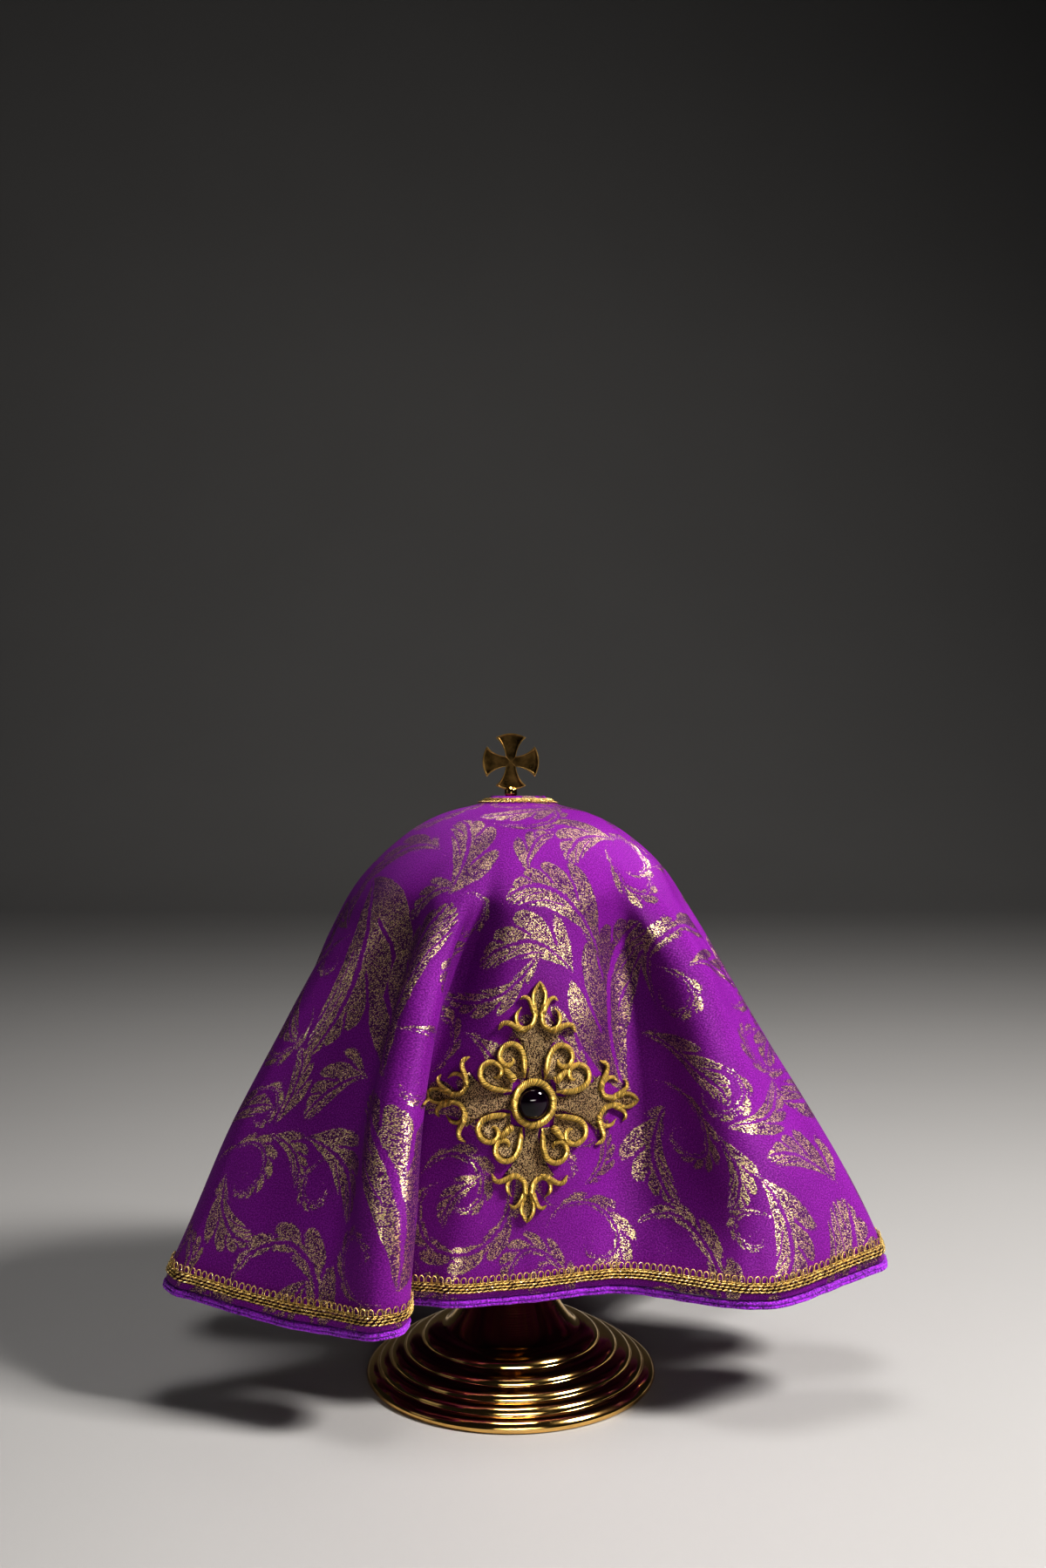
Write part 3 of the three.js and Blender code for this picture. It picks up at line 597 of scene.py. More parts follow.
def smooth_path(points, steps):
    """A curve through the points, evenly spaced, rounded at each of them."""
    points = np.asarray(points, float)
    ends = np.vstack([2 * points[0] - points[1], points, 2 * points[-1] - points[-2]])
    curve = []
    for i in range(1, len(ends) - 2):
        for t in np.arange(0, 1, 0.1):
            a, b, c, d = ends[i - 1], ends[i], ends[i + 1], ends[i + 2]
            curve.append(0.5 * (2 * b + (c - a) * t + (2 * a - 5 * b + 4 * c - d) * t * t
                                + (3 * b - a - 3 * c + d) * t ** 3))
    curve = np.array(curve + [points[-1]])
    lengths = np.concatenate([[0], np.cumsum(np.linalg.norm(np.diff(curve, axis=0), axis=1))])
    at = np.linspace(0, lengths[-1], steps)
    return np.stack([np.interp(at, lengths, curve[:, k]) for k in range(curve.shape[1])], axis=1)


def turned_piece(name, profile, steps):
    """A profile drawn as a chain of edges and spun round the upright axis in edit mode."""
    mesh = bpy.data.meshes.new(name)
    points = [(radius * MM, 0, height * MM) for radius, height in profile]
    mesh.from_pydata(points, [(i, i + 1) for i in range(len(points) - 1)], [])
    piece = bpy.data.objects.new(name, mesh)
    bpy.context.collection.objects.link(piece)
    select_only(piece)
    bpy.ops.object.mode_set(mode="EDIT")
    bpy.ops.mesh.select_all(action="SELECT")
    bpy.ops.mesh.spin(steps=steps, angle=2 * math.pi, center=(0, 0, 0), axis=(0, 0, 1))
    face_outward(merge=True)
    return piece


def soften_edges(piece, width, segments=3, angle=28):
    select_only(piece)
    bevel = piece.modifiers.new("soft edges", "BEVEL")
    bevel.width = width
    bevel.segments = segments
    bevel.limit_method = "ANGLE"
    bevel.angle_limit = math.radians(angle)
    bevel.harden_normals = False
    bpy.ops.object.modifier_apply(modifier=bevel.name)
    bpy.ops.object.shade_smooth_by_angle(angle=math.radians(40))


# Materials

def add_node(tree, kind, settings=None, **sockets):
    node = tree.nodes.new(kind)
    for key, value in (settings or {}).items():
        setattr(node, key, value)
    for key, value in sockets.items():
        feed(tree, node.inputs[key.replace("_", " ")], value)
    return node


def feed(tree, socket, value):
    if isinstance(value, bpy.types.NodeSocket):
        tree.links.new(value, socket)
    else:
        socket.default_value = value


def calc(tree, operation, *values):
    node = tree.nodes.new("ShaderNodeMath")
    node.operation = operation
    for socket, value in zip(node.inputs, values):
        feed(tree, socket, value)
    return node.outputs[0]


def vector_calc(tree, operation, first, second=None):
    node = tree.nodes.new("ShaderNodeVectorMath")
    node.operation = operation
    feed(tree, node.inputs[0], first)
    if second is not None:
        feed(tree, node.inputs[1], second)
    return node.outputs[0]


def mixed(tree, share, first, second):
    node = tree.nodes.new("ShaderNodeMix")
    node.data_type = "RGBA"
    feed(tree, node.inputs[0], share)
    feed(tree, node.inputs[6], first)
    feed(tree, node.inputs[7], second)
    return node.outputs[2]


def ramped(tree, value, low, high, start=0.0, end=1.0):
    node = add_node(tree, "ShaderNodeMapRange", {"clamp": True}, From_Min=low, From_Max=high,
                    To_Min=start, To_Max=end)
    feed(tree, node.inputs["Value"], value)
    return node.outputs[0]


def object_place(tree):
    return add_node(tree, "ShaderNodeTexCoord").outputs["Object"]


def attribute(tree, name):
    return add_node(tree, "ShaderNodeAttribute", {"attribute_name": name}).outputs["Vector"]


def split(tree, vector):
    return add_node(tree, "ShaderNodeSeparateXYZ", Vector=vector).outputs


def noise(tree, place, scale, detail):
    return add_node(tree, "ShaderNodeTexNoise", Vector=place, Scale=scale, Detail=detail).outputs[0]


def set_inputs(node, **values):
    for key, value in values.items():
        node.inputs[key.replace("_", " ")].default_value = value


def new_group(name, inputs, outputs):
    group = bpy.data.node_groups.new(name, "ShaderNodeTree")
    for label, kind, default in inputs:
        socket = group.interface.new_socket(label, in_out="INPUT", socket_type=kind)
        if default is not None:
            socket.default_value = default
    for label in outputs:
        group.interface.new_socket(label, in_out="OUTPUT", socket_type="NodeSocketFloat")
    return group, group.nodes.new("NodeGroupInput"), group.nodes.new("NodeGroupOutput")


def placed_group(tree, group, **values):
    node = tree.nodes.new("ShaderNodeGroup")
    node.node_tree = group
    for key, value in values.items():
        feed(tree, node.inputs[key.replace("_", " ")], value)
    return node


def leafy_scroll_group():
    """One spiral or leaf of woven foliage: how deep a point of the flat cloth lies in it."""
    if "leafy scroll" in bpy.data.node_groups:
        return bpy.data.node_groups["leafy scroll"]
    tree, given, result = new_group("leafy scroll", [
        ("Flat", "NodeSocketVector", None), ("Eye", "NodeSocketVector", None),
        ("Form", "NodeSocketVector", None), ("Widths", "NodeSocketVector", None)], ["Depth"])
    inp = given.outputs
    eye_x, eye_y, turn = split(tree, inp["Eye"])
    size, growth, signed_lobes = split(tree, inp["Form"])
    sweep, outer, inner = split(tree, inp["Widths"])
    flat_x, flat_y, _ = split(tree, inp["Flat"])
    x, y = calc(tree, "SUBTRACT", flat_x, eye_x), calc(tree, "SUBTRACT", flat_y, eye_y)
    radius = calc(tree, "SQRT", calc(tree, "MULTIPLY_ADD", x, x, calc(tree, "MULTIPLY", y, y)))
    angle = calc(tree, "MULTIPLY", calc(tree, "SUBTRACT", calc(tree, "ARCTAN2", y, x), turn),
                 calc(tree, "SIGN", signed_lobes))
    level = calc(tree, "DIVIDE", calc(tree, "LOGARITHM", calc(
        tree, "DIVIDE", radius, size), math.e), growth)
    turns = calc(tree, "ROUND", calc(tree, "MULTIPLY", calc(tree, "SUBTRACT", level, angle),
                                     0.5 / math.pi))
    along = calc(tree, "MULTIPLY_ADD", turns, 2 * math.pi, angle)
    across = calc(tree, "MULTIPLY", calc(tree, "SUBTRACT", level, along), growth)
    share = calc(tree, "MAXIMUM", calc(tree, "MINIMUM", calc(
        tree, "DIVIDE", along, sweep), 1.0), 0.0)
    body = calc(tree, "SINE", calc(tree, "MULTIPLY", calc(tree, "POWER", share, LEAF_TAPER), math.pi))
    lean = calc(tree, "ABSOLUTE", across)
    phase = calc(tree, "MULTIPLY", calc(tree, "MULTIPLY_ADD", lean, LOBE_LEAN, along),
                 calc(tree, "ABSOLUTE", signed_lobes))
    notch = calc(tree, "ABSOLUTE", calc(tree, "SINE", calc(tree, "MULTIPLY", phase, math.pi)))
    lobe = calc(tree, "MULTIPLY", calc(tree, "MULTIPLY_ADD", calc(
        tree, "POWER", notch, LOBE_POWER), LOBE_DEPTH, LOBE_FLOOR), body)
    depth = calc(tree, "MINIMUM",
                 calc(tree, "SUBTRACT", calc(tree, "MULTIPLY", outer, lobe), across),
                 calc(tree, "MULTIPLY_ADD", inner, lobe, across))
    depth = calc(tree, "MINIMUM", depth, calc(tree, "MULTIPLY_ADD", body, -0.03, lean))
    gap = calc(tree, "MULTIPLY_ADD", calc(tree, "LESS_THAN", lean, 0.11), 0.1,
               calc(tree, "MULTIPLY_ADD", notch, 0.12, -0.016))
    depth = calc(tree, "MINIMUM", depth, gap)
    tree.links.new(calc(tree, "MULTIPLY", depth, radius), result.inputs["Depth"])
    return tree


def woven_foliage(tree, flat):
    """The foliage's mask, and how near its outline a point lies, from the cloth's own marks."""
    waver = add_node(tree, "ShaderNodeTexNoise", Vector=flat, Scale=0.09, Detail=2.0)
    offset = vector_calc(tree, "SUBTRACT", waver.outputs["Color"], (0.5, 0.5, 0.5))
    wavy = add_node(tree, "ShaderNodeVectorMath", {"operation": "MULTIPLY_ADD"})
    tree.links.new(offset, wavy.inputs[0])
    wavy.inputs[1].default_value = (2.4, 2.4, 0.0)
    tree.links.new(flat, wavy.inputs[2])
    depth = None
    for k in range(LEAVES_PER_FACE):
        marks = [attribute(tree, f"{label}_{k}") for label in ("eye", "form", "widths")]
        leaf = placed_group(tree, leafy_scroll_group(), Flat=wavy.outputs[0], Eye=marks[0],
                            Form=marks[1], Widths=marks[2]).outputs["Depth"]
        depth = leaf if depth is None else calc(tree, "MAXIMUM", depth, leaf)
    return ramped(tree, depth, -0.1, 1.1), ramped(tree, depth, 0.6, 2.0, 1.0, 0.0)


def leaf_eye(leaf, points):
    """The first arm of a leaf's spiral, and the eye of the copy of the leaf nearest each point."""
    base_x, base_y, tip_x, tip_y, sweep, growth, hand = leaf[:7]
    first = complex(base_x - tip_x, base_y - tip_y) / (cmath.exp(complex(growth, hand) * sweep) - 1)
    eye = np.array([tip_x - first.real, tip_y - first.imag])
    middle = np.array([(base_x + tip_x) / 2, (base_y + tip_y) / 2])
    return first, eye + np.round((points - middle) / CLOTH_REPEAT) * CLOTH_REPEAT


def on_spiral(leaf, first, local):
    """Each point's distance from the eye, its place along the spiral and across it, and the leaf's
    fullness there."""
    sweep, growth, hand = leaf[4:7]
    radius = np.hypot(local[:, 0], local[:, 1]) + 1e-6
    angle = (np.arctan2(local[:, 1], local[:, 0]) - cmath.phase(first)) * hand
    level = np.log(radius / abs(first)) / growth
    along = angle + 2 * math.pi * np.round((level - angle) / (2 * math.pi))
    body = np.sin(math.pi * np.clip(along / sweep, 0, 1) ** LEAF_TAPER)
    return radius, along, (level - along) * growth, body


def leaf_cover(leaf, points):
    """Which points of the flat cloth a lobed leaf covers. Those past its farthest reach are skipped."""
    sweep, growth, _, outer, inner, lobes = leaf[4:]
    first, eyes = leaf_eye(leaf, points)
    local = points - eyes
    reach = abs(first) * math.exp(growth * sweep + outer * (LOBE_DEPTH + LOBE_FLOOR))
    near = np.flatnonzero(np.hypot(local[:, 0], local[:, 1]) < reach)
    _, along, across, body = on_spiral(leaf, first, local[near])
    notch = np.abs(np.sin(math.pi * (along + LOBE_LEAN * np.abs(across)) * lobes))
    lobe = (notch ** LOBE_POWER * LOBE_DEPTH + LOBE_FLOOR) * body
    covered = np.zeros(len(points), bool)
    covered[near] = np.minimum(outer * lobe - across, across + inner * lobe) > 0
    return covered


def drawn_scroll(draw):
    """A scroll drawn at random on the repeat, spiralling out from its eye."""
    eye = complex(draw.uniform(0, CLOTH_REPEAT[0]), draw.uniform(0, CLOTH_REPEAT[1]))
    growth, sweep = draw.uniform(0.22, 0.30), draw.uniform(4.8, 6.2)
    reach, turn, hand = draw.uniform(11, 22), draw.uniform(0, 2 * math.pi), draw.choice((1, -1))
    first = cmath.rect(reach * math.exp(-growth * sweep), turn)
    tip, base = eye + first, eye + first * cmath.exp(complex(growth, hand) * sweep)
    return (round(base.real, 1), round(base.imag, 1), round(tip.real, 1), round(tip.imag, 1),
            round(sweep, 2), round(growth, 3), hand, round(draw.uniform(0.40, 0.52), 2),
            round(draw.uniform(0.18, 0.26), 2), round(draw.uniform(1.4, 2.0), 1))


def drawn_leaf(draw):
    """A leaf drawn at random on the repeat, from its base to its tip."""
    x, y = draw.uniform(0, CLOTH_REPEAT[0]), draw.uniform(0, CLOTH_REPEAT[1])
    length, turn = draw.uniform(24, 58), draw.uniform(0, 2 * math.pi)
    return (round(x, 1), round(y, 1), round(x + length * math.cos(turn), 1),
            round(y + length * math.sin(turn), 1), round(draw.uniform(1.1, 1.9), 2),
            round(draw.uniform(0.7, 0.95), 2), draw.choice((1, -1)),
            round(draw.uniform(0.42, 0.52), 2), round(draw.uniform(0.38, 0.48), 2),
            round(draw.uniform(2.8, 3.8), 1))


def widened(covered, steps):
    """A covered patch of the repeat grown on every side, round its edges too."""
    for _ in range(steps):
        covered = (covered | np.roll(covered, 1, 0) | np.roll(covered, -1, 0)
                   | np.roll(covered, 1, 1) | np.roll(covered, -1, 1))
    return covered


def fill_repeat():
    """The placed leaves, and leaves and scrolls found by a seeded search to fill the rest."""
    draw = random.Random(FILL_SEED)
    across, up = np.meshgrid(np.arange(CLOTH_REPEAT[0]), np.arange(CLOTH_REPEAT[1]))
    points = np.column_stack([across.ravel(), up.ravel()])
    leaves = list(PLACED_LEAVES)
    used = np.any([leaf_cover(leaf, points) for leaf in leaves], axis=0)
    for step in range(FILL_ROUNDS):
        if used.mean() >= FILL_SHARE:
            break
        guard = widened(used.reshape(across.shape), FILL_GAP).ravel()
        best_score, best_leaf, best_cover = SMALLEST_GAIN, None, None
        for _ in range(FILL_TRIES):
            leaf = drawn_leaf(draw) if step % 3 == 2 else drawn_scroll(draw)
            covered = leaf_cover(leaf, points)
            score = covered.sum() - OVERLAP_COST * (covered & guard).sum()
            if covered.sum() >= SMALLEST_LEAF and score > best_score:
                best_score, best_leaf, best_cover = score, leaf, covered
        if best_leaf is not None:
            leaves.append(best_leaf)
            used = used | best_cover
    return leaves


def foliage_marks(points):
    """For each point of the flat cloth, the leaves that lie nearest over it, as shader marks."""
    depths, marks = [], []
    count = len(points)
    for leaf in fill_repeat():
        sweep, growth, hand, outer, inner, lobes = leaf[4:]
        first, eyes = leaf_eye(leaf, points)
        radius, along, across, body = on_spiral(leaf, first, points - eyes)
        body = body * 1.1
        past = np.maximum(np.maximum(-along, along - sweep), 0)
        depth = np.minimum(outer * body - across, across + inner * body) - past
        depths.append(depth * radius)
        marks.append((np.column_stack([eyes, np.full(count, cmath.phase(first))]),
                      np.tile([abs(first), growth, hand * lobes], (count, 1)),
                      np.tile([sweep, outer, inner], (count, 1))))
    order = np.argsort(-np.array(depths), axis=0)[:LEAVES_PER_FACE]
    marks = np.array(marks)
    return [[marks[order[k], form, np.arange(count)] for form in range(3)]
            for k in range(LEAVES_PER_FACE)]


def thread_group():
    """Woven threads on the flat cloth: metal floats scattered in rows, and the height of the weave."""
    if "woven threads" in bpy.data.node_groups:
        return bpy.data.node_groups["woven threads"]
    number = "NodeSocketFloat"
    tree, given, result = new_group("woven threads", [
        ("Flat", "NodeSocketVector", None), ("Cover", number, 0.5), ("Pick", number, 0.42)],
        ["Metal", "Height", "Shade"])
    flat = add_node(tree, "ShaderNodeVectorMath", {"operation": "SCALE"},
                    Scale=calc(tree, "DIVIDE", 1.0, given.outputs["Pick"]))
    tree.links.new(given.outputs["Flat"], flat.inputs[0])
    parts = split(tree, flat.outputs[0])
    row = calc(tree, "FLOOR", parts[1])
    shifted = calc(tree, "ADD", calc(tree, "MULTIPLY", parts[0], 0.72),
                   calc(tree, "FRACT", calc(tree, "MULTIPLY", row, 0.382)))
    cell = add_node(tree, "ShaderNodeCombineXYZ", X=calc(tree, "FLOOR", shifted), Y=row).outputs[0]
    dice = add_node(tree, "ShaderNodeTexWhiteNoise", {"noise_dimensions": "2D"}, Vector=cell)
    metal = calc(tree, "LESS_THAN", dice.outputs["Value"], given.outputs["Cover"])
    tree.links.new(metal, result.inputs["Metal"])
    across = calc(tree, "SINE", calc(tree, "MULTIPLY", calc(tree, "FRACT", parts[1]), math.pi))
    length = calc(tree, "SINE", calc(tree, "MULTIPLY", calc(tree, "FRACT", shifted), math.pi))
    tree.links.new(calc(tree, "MULTIPLY", across, calc(tree, "POWER", length, 0.5)),
                   result.inputs["Height"])
    tree.links.new(dice.outputs["Value"], result.inputs["Shade"])
    return tree


def stitch_group():
    """Laid or twisted threads along a cord, from its strand: their height and a shade for each."""
    if "laid stitches" in bpy.data.node_groups:
        return bpy.data.node_groups["laid stitches"]
    number = "NodeSocketFloat"
    tree, given, result = new_group("laid stitches", [
        ("Along", number, 0.0), ("Around", number, 0.0), ("Pitch", number, 0.4),
        ("Slant", number, 0.3)], ["Height", "Shade"])
    inp = given.outputs
    phase = calc(tree, "ADD", calc(tree, "DIVIDE", inp["Along"], inp["Pitch"]),
                 calc(tree, "MULTIPLY", inp["Around"], inp["Slant"]))
    height = calc(tree, "SINE", calc(tree, "MULTIPLY", calc(tree, "FRACT", phase), math.pi))
    dice = add_node(tree, "ShaderNodeTexWhiteNoise", {"noise_dimensions": "1D"},
                    W=calc(tree, "FLOOR", phase))
    tree.links.new(height, result.inputs["Height"])
    tree.links.new(dice.outputs["Value"], result.inputs["Shade"])
    return tree


def wear_group():
    """Handling marks on metal: broad cloudy dulling, and fine turning lines round the axis."""
    if "handled metal" in bpy.data.node_groups:
        return bpy.data.node_groups["handled metal"]
    tree, given, result = new_group("handled metal", [
        ("Place", "NodeSocketVector", None), ("Scale", "NodeSocketFloat", 60.0)],
        ["Cloud", "Lines", "Specks"])
    place = given.outputs["Place"]
    cloud = add_node(tree, "ShaderNodeTexNoise", Vector=place, Scale=given.outputs["Scale"],
                     Detail=5.0, Roughness=0.6)
    parts = split(tree, place)
    radius = calc(tree, "SQRT", calc(tree, "ADD", calc(tree, "MULTIPLY", parts[0], parts[0]),
                                     calc(tree, "MULTIPLY", parts[1], parts[1])))
    line = add_node(tree, "ShaderNodeCombineXYZ", X=calc(tree, "MULTIPLY", radius, 900.0),
                    Y=calc(tree, "MULTIPLY", parts[2], 900.0)).outputs[0]
    lines = add_node(tree, "ShaderNodeTexNoise", Vector=line, Scale=2.0, Detail=2.0)
    specks = add_node(tree, "ShaderNodeTexVoronoi", Vector=place, Scale=420.0)
    tree.links.new(cloud.outputs[0], result.inputs["Cloud"])
    tree.links.new(lines.outputs[0], result.inputs["Lines"])
    tree.links.new(ramped(tree, specks.outputs["Distance"], 0.05, 0.12, 1.0, 0.0),
                   result.inputs["Specks"])
    return tree


def new_material(name):
    material = bpy.data.materials.new(name)
    material.use_nodes = True
    tree = material.node_tree
    tree.nodes.clear()
    out = tree.nodes.new("ShaderNodeOutputMaterial")
    shader = tree.nodes.new("ShaderNodeBsdfPrincipled")
    tree.links.new(shader.outputs[0], out.inputs[0])
    return material, tree, shader


def colour(value, strength=1.0):
    return (value[0] * strength, value[1] * strength, value[2] * strength, 1.0)


def bumped(tree, shader, height, strength, distance):
    bump = add_node(tree, "ShaderNodeBump", Height=height, Strength=strength, Distance=distance)
    tree.links.new(bump.outputs[0], shader.inputs["Normal"])
    return bump


def brocade_material():
    material, tree, shader = new_material("purple and gold brocade")
    lay = attribute(tree, "flat_lay")
    flat = add_node(tree, "ShaderNodeVectorMath", {"operation": "SCALE"}, Scale=1000.0)
    tree.links.new(lay, flat.inputs[0])
    flat = flat.outputs[0]
    figure, outline = woven_foliage(tree, flat)
    patchy = noise(tree, flat, 0.22, 2.0)
    cover = calc(tree, "ADD", calc(tree, "MULTIPLY_ADD", outline, 0.24, 0.42),
                 calc(tree, "MULTIPLY", calc(tree, "SUBTRACT", patchy, 0.5), 0.7))
    threads = placed_group(tree, thread_group(), Flat=flat, Pick=0.29,
                           Cover=calc(tree, "MULTIPLY", cover, figure)).outputs
    metal = threads["Metal"]
    cloudy = noise(tree, flat, 0.03, 3.0)
    ground = mixed(tree, ramped(tree, cloudy, 0.3, 0.7), colour(colours().brocade, 0.86),
                   colour(colours().brocade, 1.12))
    grain = noise(tree, flat, 1.7, 2.0)
    ground = mixed(tree, ramped(tree, grain, 0.48, 0.66, 0.0, 0.55), ground,
                   colour((0.36, 0.05, 0.42)))
    ground = mixed(tree, ramped(tree, grain, 0.36, 0.48, 0.5, 0.0), ground,
                   colour(colours().brocade, 0.4))
    ground = mixed(tree, calc(tree, "MULTIPLY", figure, 0.8), ground,
                   colour(colours().brocade, 0.35))
    glint = calc(tree, "FRACT", calc(tree, "MULTIPLY", threads["Shade"], 9.7))
    gold = mixed(tree, ramped(tree, glint, 0.0, 1.0), colour(colours().lurex, 0.92),
                 colour(colours().lurex, 0.10))
    feed(tree, shader.inputs["Base Color"], mixed(tree, metal, ground, gold))
    feed(tree, shader.inputs["Metallic"], calc(tree, "MULTIPLY", metal, 0.95))
    feed(tree, shader.inputs["Roughness"], ramped(tree, metal, 0.0, 1.0, 0.46, 0.29))
    set_inputs(shader, Sheen_Weight=0.10, Sheen_Roughness=0.4, Sheen_Tint=(0.7, 0.2, 1.0, 1.0),
               Specular_Tint=(0.85, 0.35, 1.0, 1.0), Specular_IOR_Level=0.55)
    height = calc(tree, "ADD", calc(tree, "MULTIPLY", threads["Height"], 0.5),
                  calc(tree, "MULTIPLY", metal, 0.6))
    height = calc(tree, "ADD", height, calc(tree, "MULTIPLY", grain, 0.9))
    weave = bumped(tree, shader, height, 0.6, 0.00035)
    sag = noise(tree, flat, 0.075, 2.0)
    handle = add_node(tree, "ShaderNodeBump", Height=sag, Strength=0.3, Distance=0.0012)
    tree.links.new(handle.outputs[0], weave.inputs["Normal"])
    return material


def braid_material():
    material, tree, shader = new_material("gold braid thread")
    strand = attribute(tree, "strand")
    parts = split(tree, strand)
    stitches = placed_group(tree, stitch_group(), Along=parts[0], Around=parts[1], Pitch=0.34,
                            Slant=1.6).outputs
    place = object_place(tree)
    glint = noise(tree, place, 900.0, 1.0)
    shade = calc(tree, "FRACT", calc(tree, "MULTIPLY", calc(
        tree, "ADD", stitches["Shade"], parts[2]), 0.61))
    tone = mixed(tree, shade, colour(colours().braid, 1.1), colour(colours().braid, 0.34))
    tone = mixed(tree, ramped(tree, glint, 0.60, 0.68), tone, colour(colours().lurex, 1.25))
    tape = calc(tree, "GREATER_THAN", parts[2], TAPE_MARK / 2)
    tone = mixed(tree, tape, tone, colour((0.055, 0.012, 0.045)))
    feed(tree, shader.inputs["Base Color"], tone)
    set_inputs(shader, Metallic=0.8)
    feed(tree, shader.inputs["Roughness"], ramped(tree, glint, 0.3, 0.7, 0.45, 0.22))
    bumped(tree, shader, stitches["Height"], 0.6, 0.00025)
    return material


def velvet_material():
    material, tree, shader = new_material("violet velvet")
    place = object_place(tree)
    pile = noise(tree, place, 1300.0, 3.0)
    crush = noise(tree, place, 130.0, 2.0)
    tone = mixed(tree, ramped(tree, pile, 0.38, 0.62), colour(colours().velvet, 0.25),
                 colour(colours().velvet, 1.5))
    tone = mixed(tree, ramped(tree, crush, 0.35, 0.7, 0.0, 0.5), tone, colour(colours().velvet, 1.8))
    feed(tree, shader.inputs["Base Color"], tone)
    set_inputs(shader, Roughness=0.85, Sheen_Weight=1.0, Sheen_Roughness=0.3,
               Sheen_Tint=(0.62, 0.32, 1.0, 1.0))
    bumped(tree, shader, pile, 1.0, 0.0012)
    return material


def embroidery_material():
    material, tree, shader = new_material("gold satin stitch")
    strand = attribute(tree, "strand")
    parts = split(tree, strand)
    stitches = placed_group(tree, stitch_group(), Along=parts[0], Around=parts[1], Pitch=0.62,
                            Slant=1.1).outputs
    place = object_place(tree)
    fuzz = noise(tree, place, 1500.0, 2.0)
    tone = mixed(tree, stitches["Shade"], colour(colours().embroidery, 1.15),
                 colour(colours().embroidery, 0.45))
    # Painted shade: the low grooves between the raised stitches are darkened to dark brown.
    tone = mixed(tree, ramped(tree, stitches["Height"], 0.0, 0.55, 0.7, 0.0), tone,
                 colour((0.16, 0.08, 0.008)))
    # Painted shade: each cord's lower side, turned towards the cloth, is darkened to dark brown.
    low = ramped(tree, parts[2], -0.9, 0.45, 0.85, 0.0)
    tone = mixed(tree, low, tone, colour((0.14, 0.07, 0.008)))
    feed(tree, shader.inputs["Base Color"], tone)
    set_inputs(shader, Metallic=0.45)
    feed(tree, shader.inputs["Roughness"], ramped(tree, fuzz, 0.3, 0.7, 0.26, 0.5))
    set_inputs(shader, Sheen_Weight=0.2, Sheen_Tint=(1.0, 0.8, 0.3, 1.0))
    height = calc(tree, "ADD", stitches["Height"], calc(tree, "MULTIPLY", fuzz, 0.7))
    bumped(tree, shader, height, 1.0, 0.0007)
    return material


def embroidery_ground_material():
    material, tree, shader = new_material("speckled gold ground")
    strand = attribute(tree, "strand")
    threads = placed_group(tree, thread_group(), Flat=strand, Cover=0.50, Pick=0.27).outputs
    tone = mixed(tree, threads["Metal"], colour((0.060, 0.022, 0.012)),
                 colour(colours().lurex, 0.75))
    feed(tree, shader.inputs["Base Color"], tone)
    feed(tree, shader.inputs["Metallic"], calc(tree, "MULTIPLY", threads["Metal"], 0.8))
    feed(tree, shader.inputs["Roughness"], ramped(tree, threads["Shade"], 0.0, 1.0, 0.34, 0.55))
    bumped(tree, shader, threads["Height"], 0.8, 0.0004)
    return material


def stone_material():
    material, tree, shader = new_material("dark faceted glass")
    place = object_place(tree)
    depth = noise(tree, place, 160.0, 1.0)
    feed(tree, shader.inputs["Base Color"], mixed(
        tree, ramped(tree, depth, 0.35, 0.65), colour((0.002, 0.0005, 0.003)),
        colour((0.012, 0.001, 0.012))))
    feed(tree, shader.inputs["Roughness"], ramped(tree, depth, 0.3, 0.7, 0.02, 0.05))
    set_inputs(shader, IOR=1.5)
    return material


def gilt_material():
    material, tree, shader = new_material("polished gilt")
    place = object_place(tree)
    wear = placed_group(tree, wear_group(), Place=place, Scale=55.0).outputs
    tone = mixed(tree, ramped(tree, wear["Cloud"], 0.35, 0.7), colour(colours().gilt),
                 colour(colours().gilt, 0.78))
    feed(tree, shader.inputs["Base Color"], tone)
    set_inputs(shader, Metallic=1.0)
    rough = calc(tree, "ADD", ramped(tree, wear["Cloud"], 0.3, 0.75, 0.07, 0.17),
                 calc(tree, "MULTIPLY", wear["Specks"], 0.10))
    feed(tree, shader.inputs["Roughness"], rough)
    height = calc(tree, "ADD", wear["Lines"], calc(tree, "MULTIPLY", wear["Cloud"], 1.5))
    bumped(tree, shader, height, 0.12, 0.0004)
    return material


def painted_edges_casting_material():
    material, tree, shader = new_material("gold casting with painted edge highlights and shade")
    place = object_place(tree)
    wear = placed_group(tree, wear_group(), Place=place, Scale=240.0).outputs
    # Painted highlights: bright gilt only along the sharp edges, found by their pointiness.
    edge = add_node(tree, "ShaderNodeNewGeometry").outputs["Pointiness"]
    painted_edge_highlight = ramped(tree, edge, 0.505, 0.56)
    # Painted shade: everywhere else the gilt is darkened, and clouded at random.
    dark = mixed(tree, ramped(tree, wear["Cloud"], 0.35, 0.65), colour(colours().gilt, 0.14),
                 colour(colours().gilt, 0.36))
    feed(tree, shader.inputs["Base Color"], mixed(tree, painted_edge_highlight, dark, colour(colours().gilt, 1.1)))
    set_inputs(shader, Metallic=1.0)
    feed(tree, shader.inputs["Roughness"], ramped(tree, wear["Cloud"], 0.3, 0.7, 0.26, 0.42))
    bumped(tree, shader, wear["Cloud"], 0.25, 0.0005)
    return material


def floor_material():
    material, tree, shader = new_material("pale studio floor")
    place = object_place(tree)
    haze = noise(tree, place, 3.0, 3.0)
    feed(tree, shader.inputs["Base Color"], mixed(
        tree, haze, colour((0.36, 0.356, 0.352)), colour((0.39, 0.386, 0.382))))
    set_inputs(shader, Roughness=0.6, Specular_IOR_Level=0.25)
    return material


# The pieces

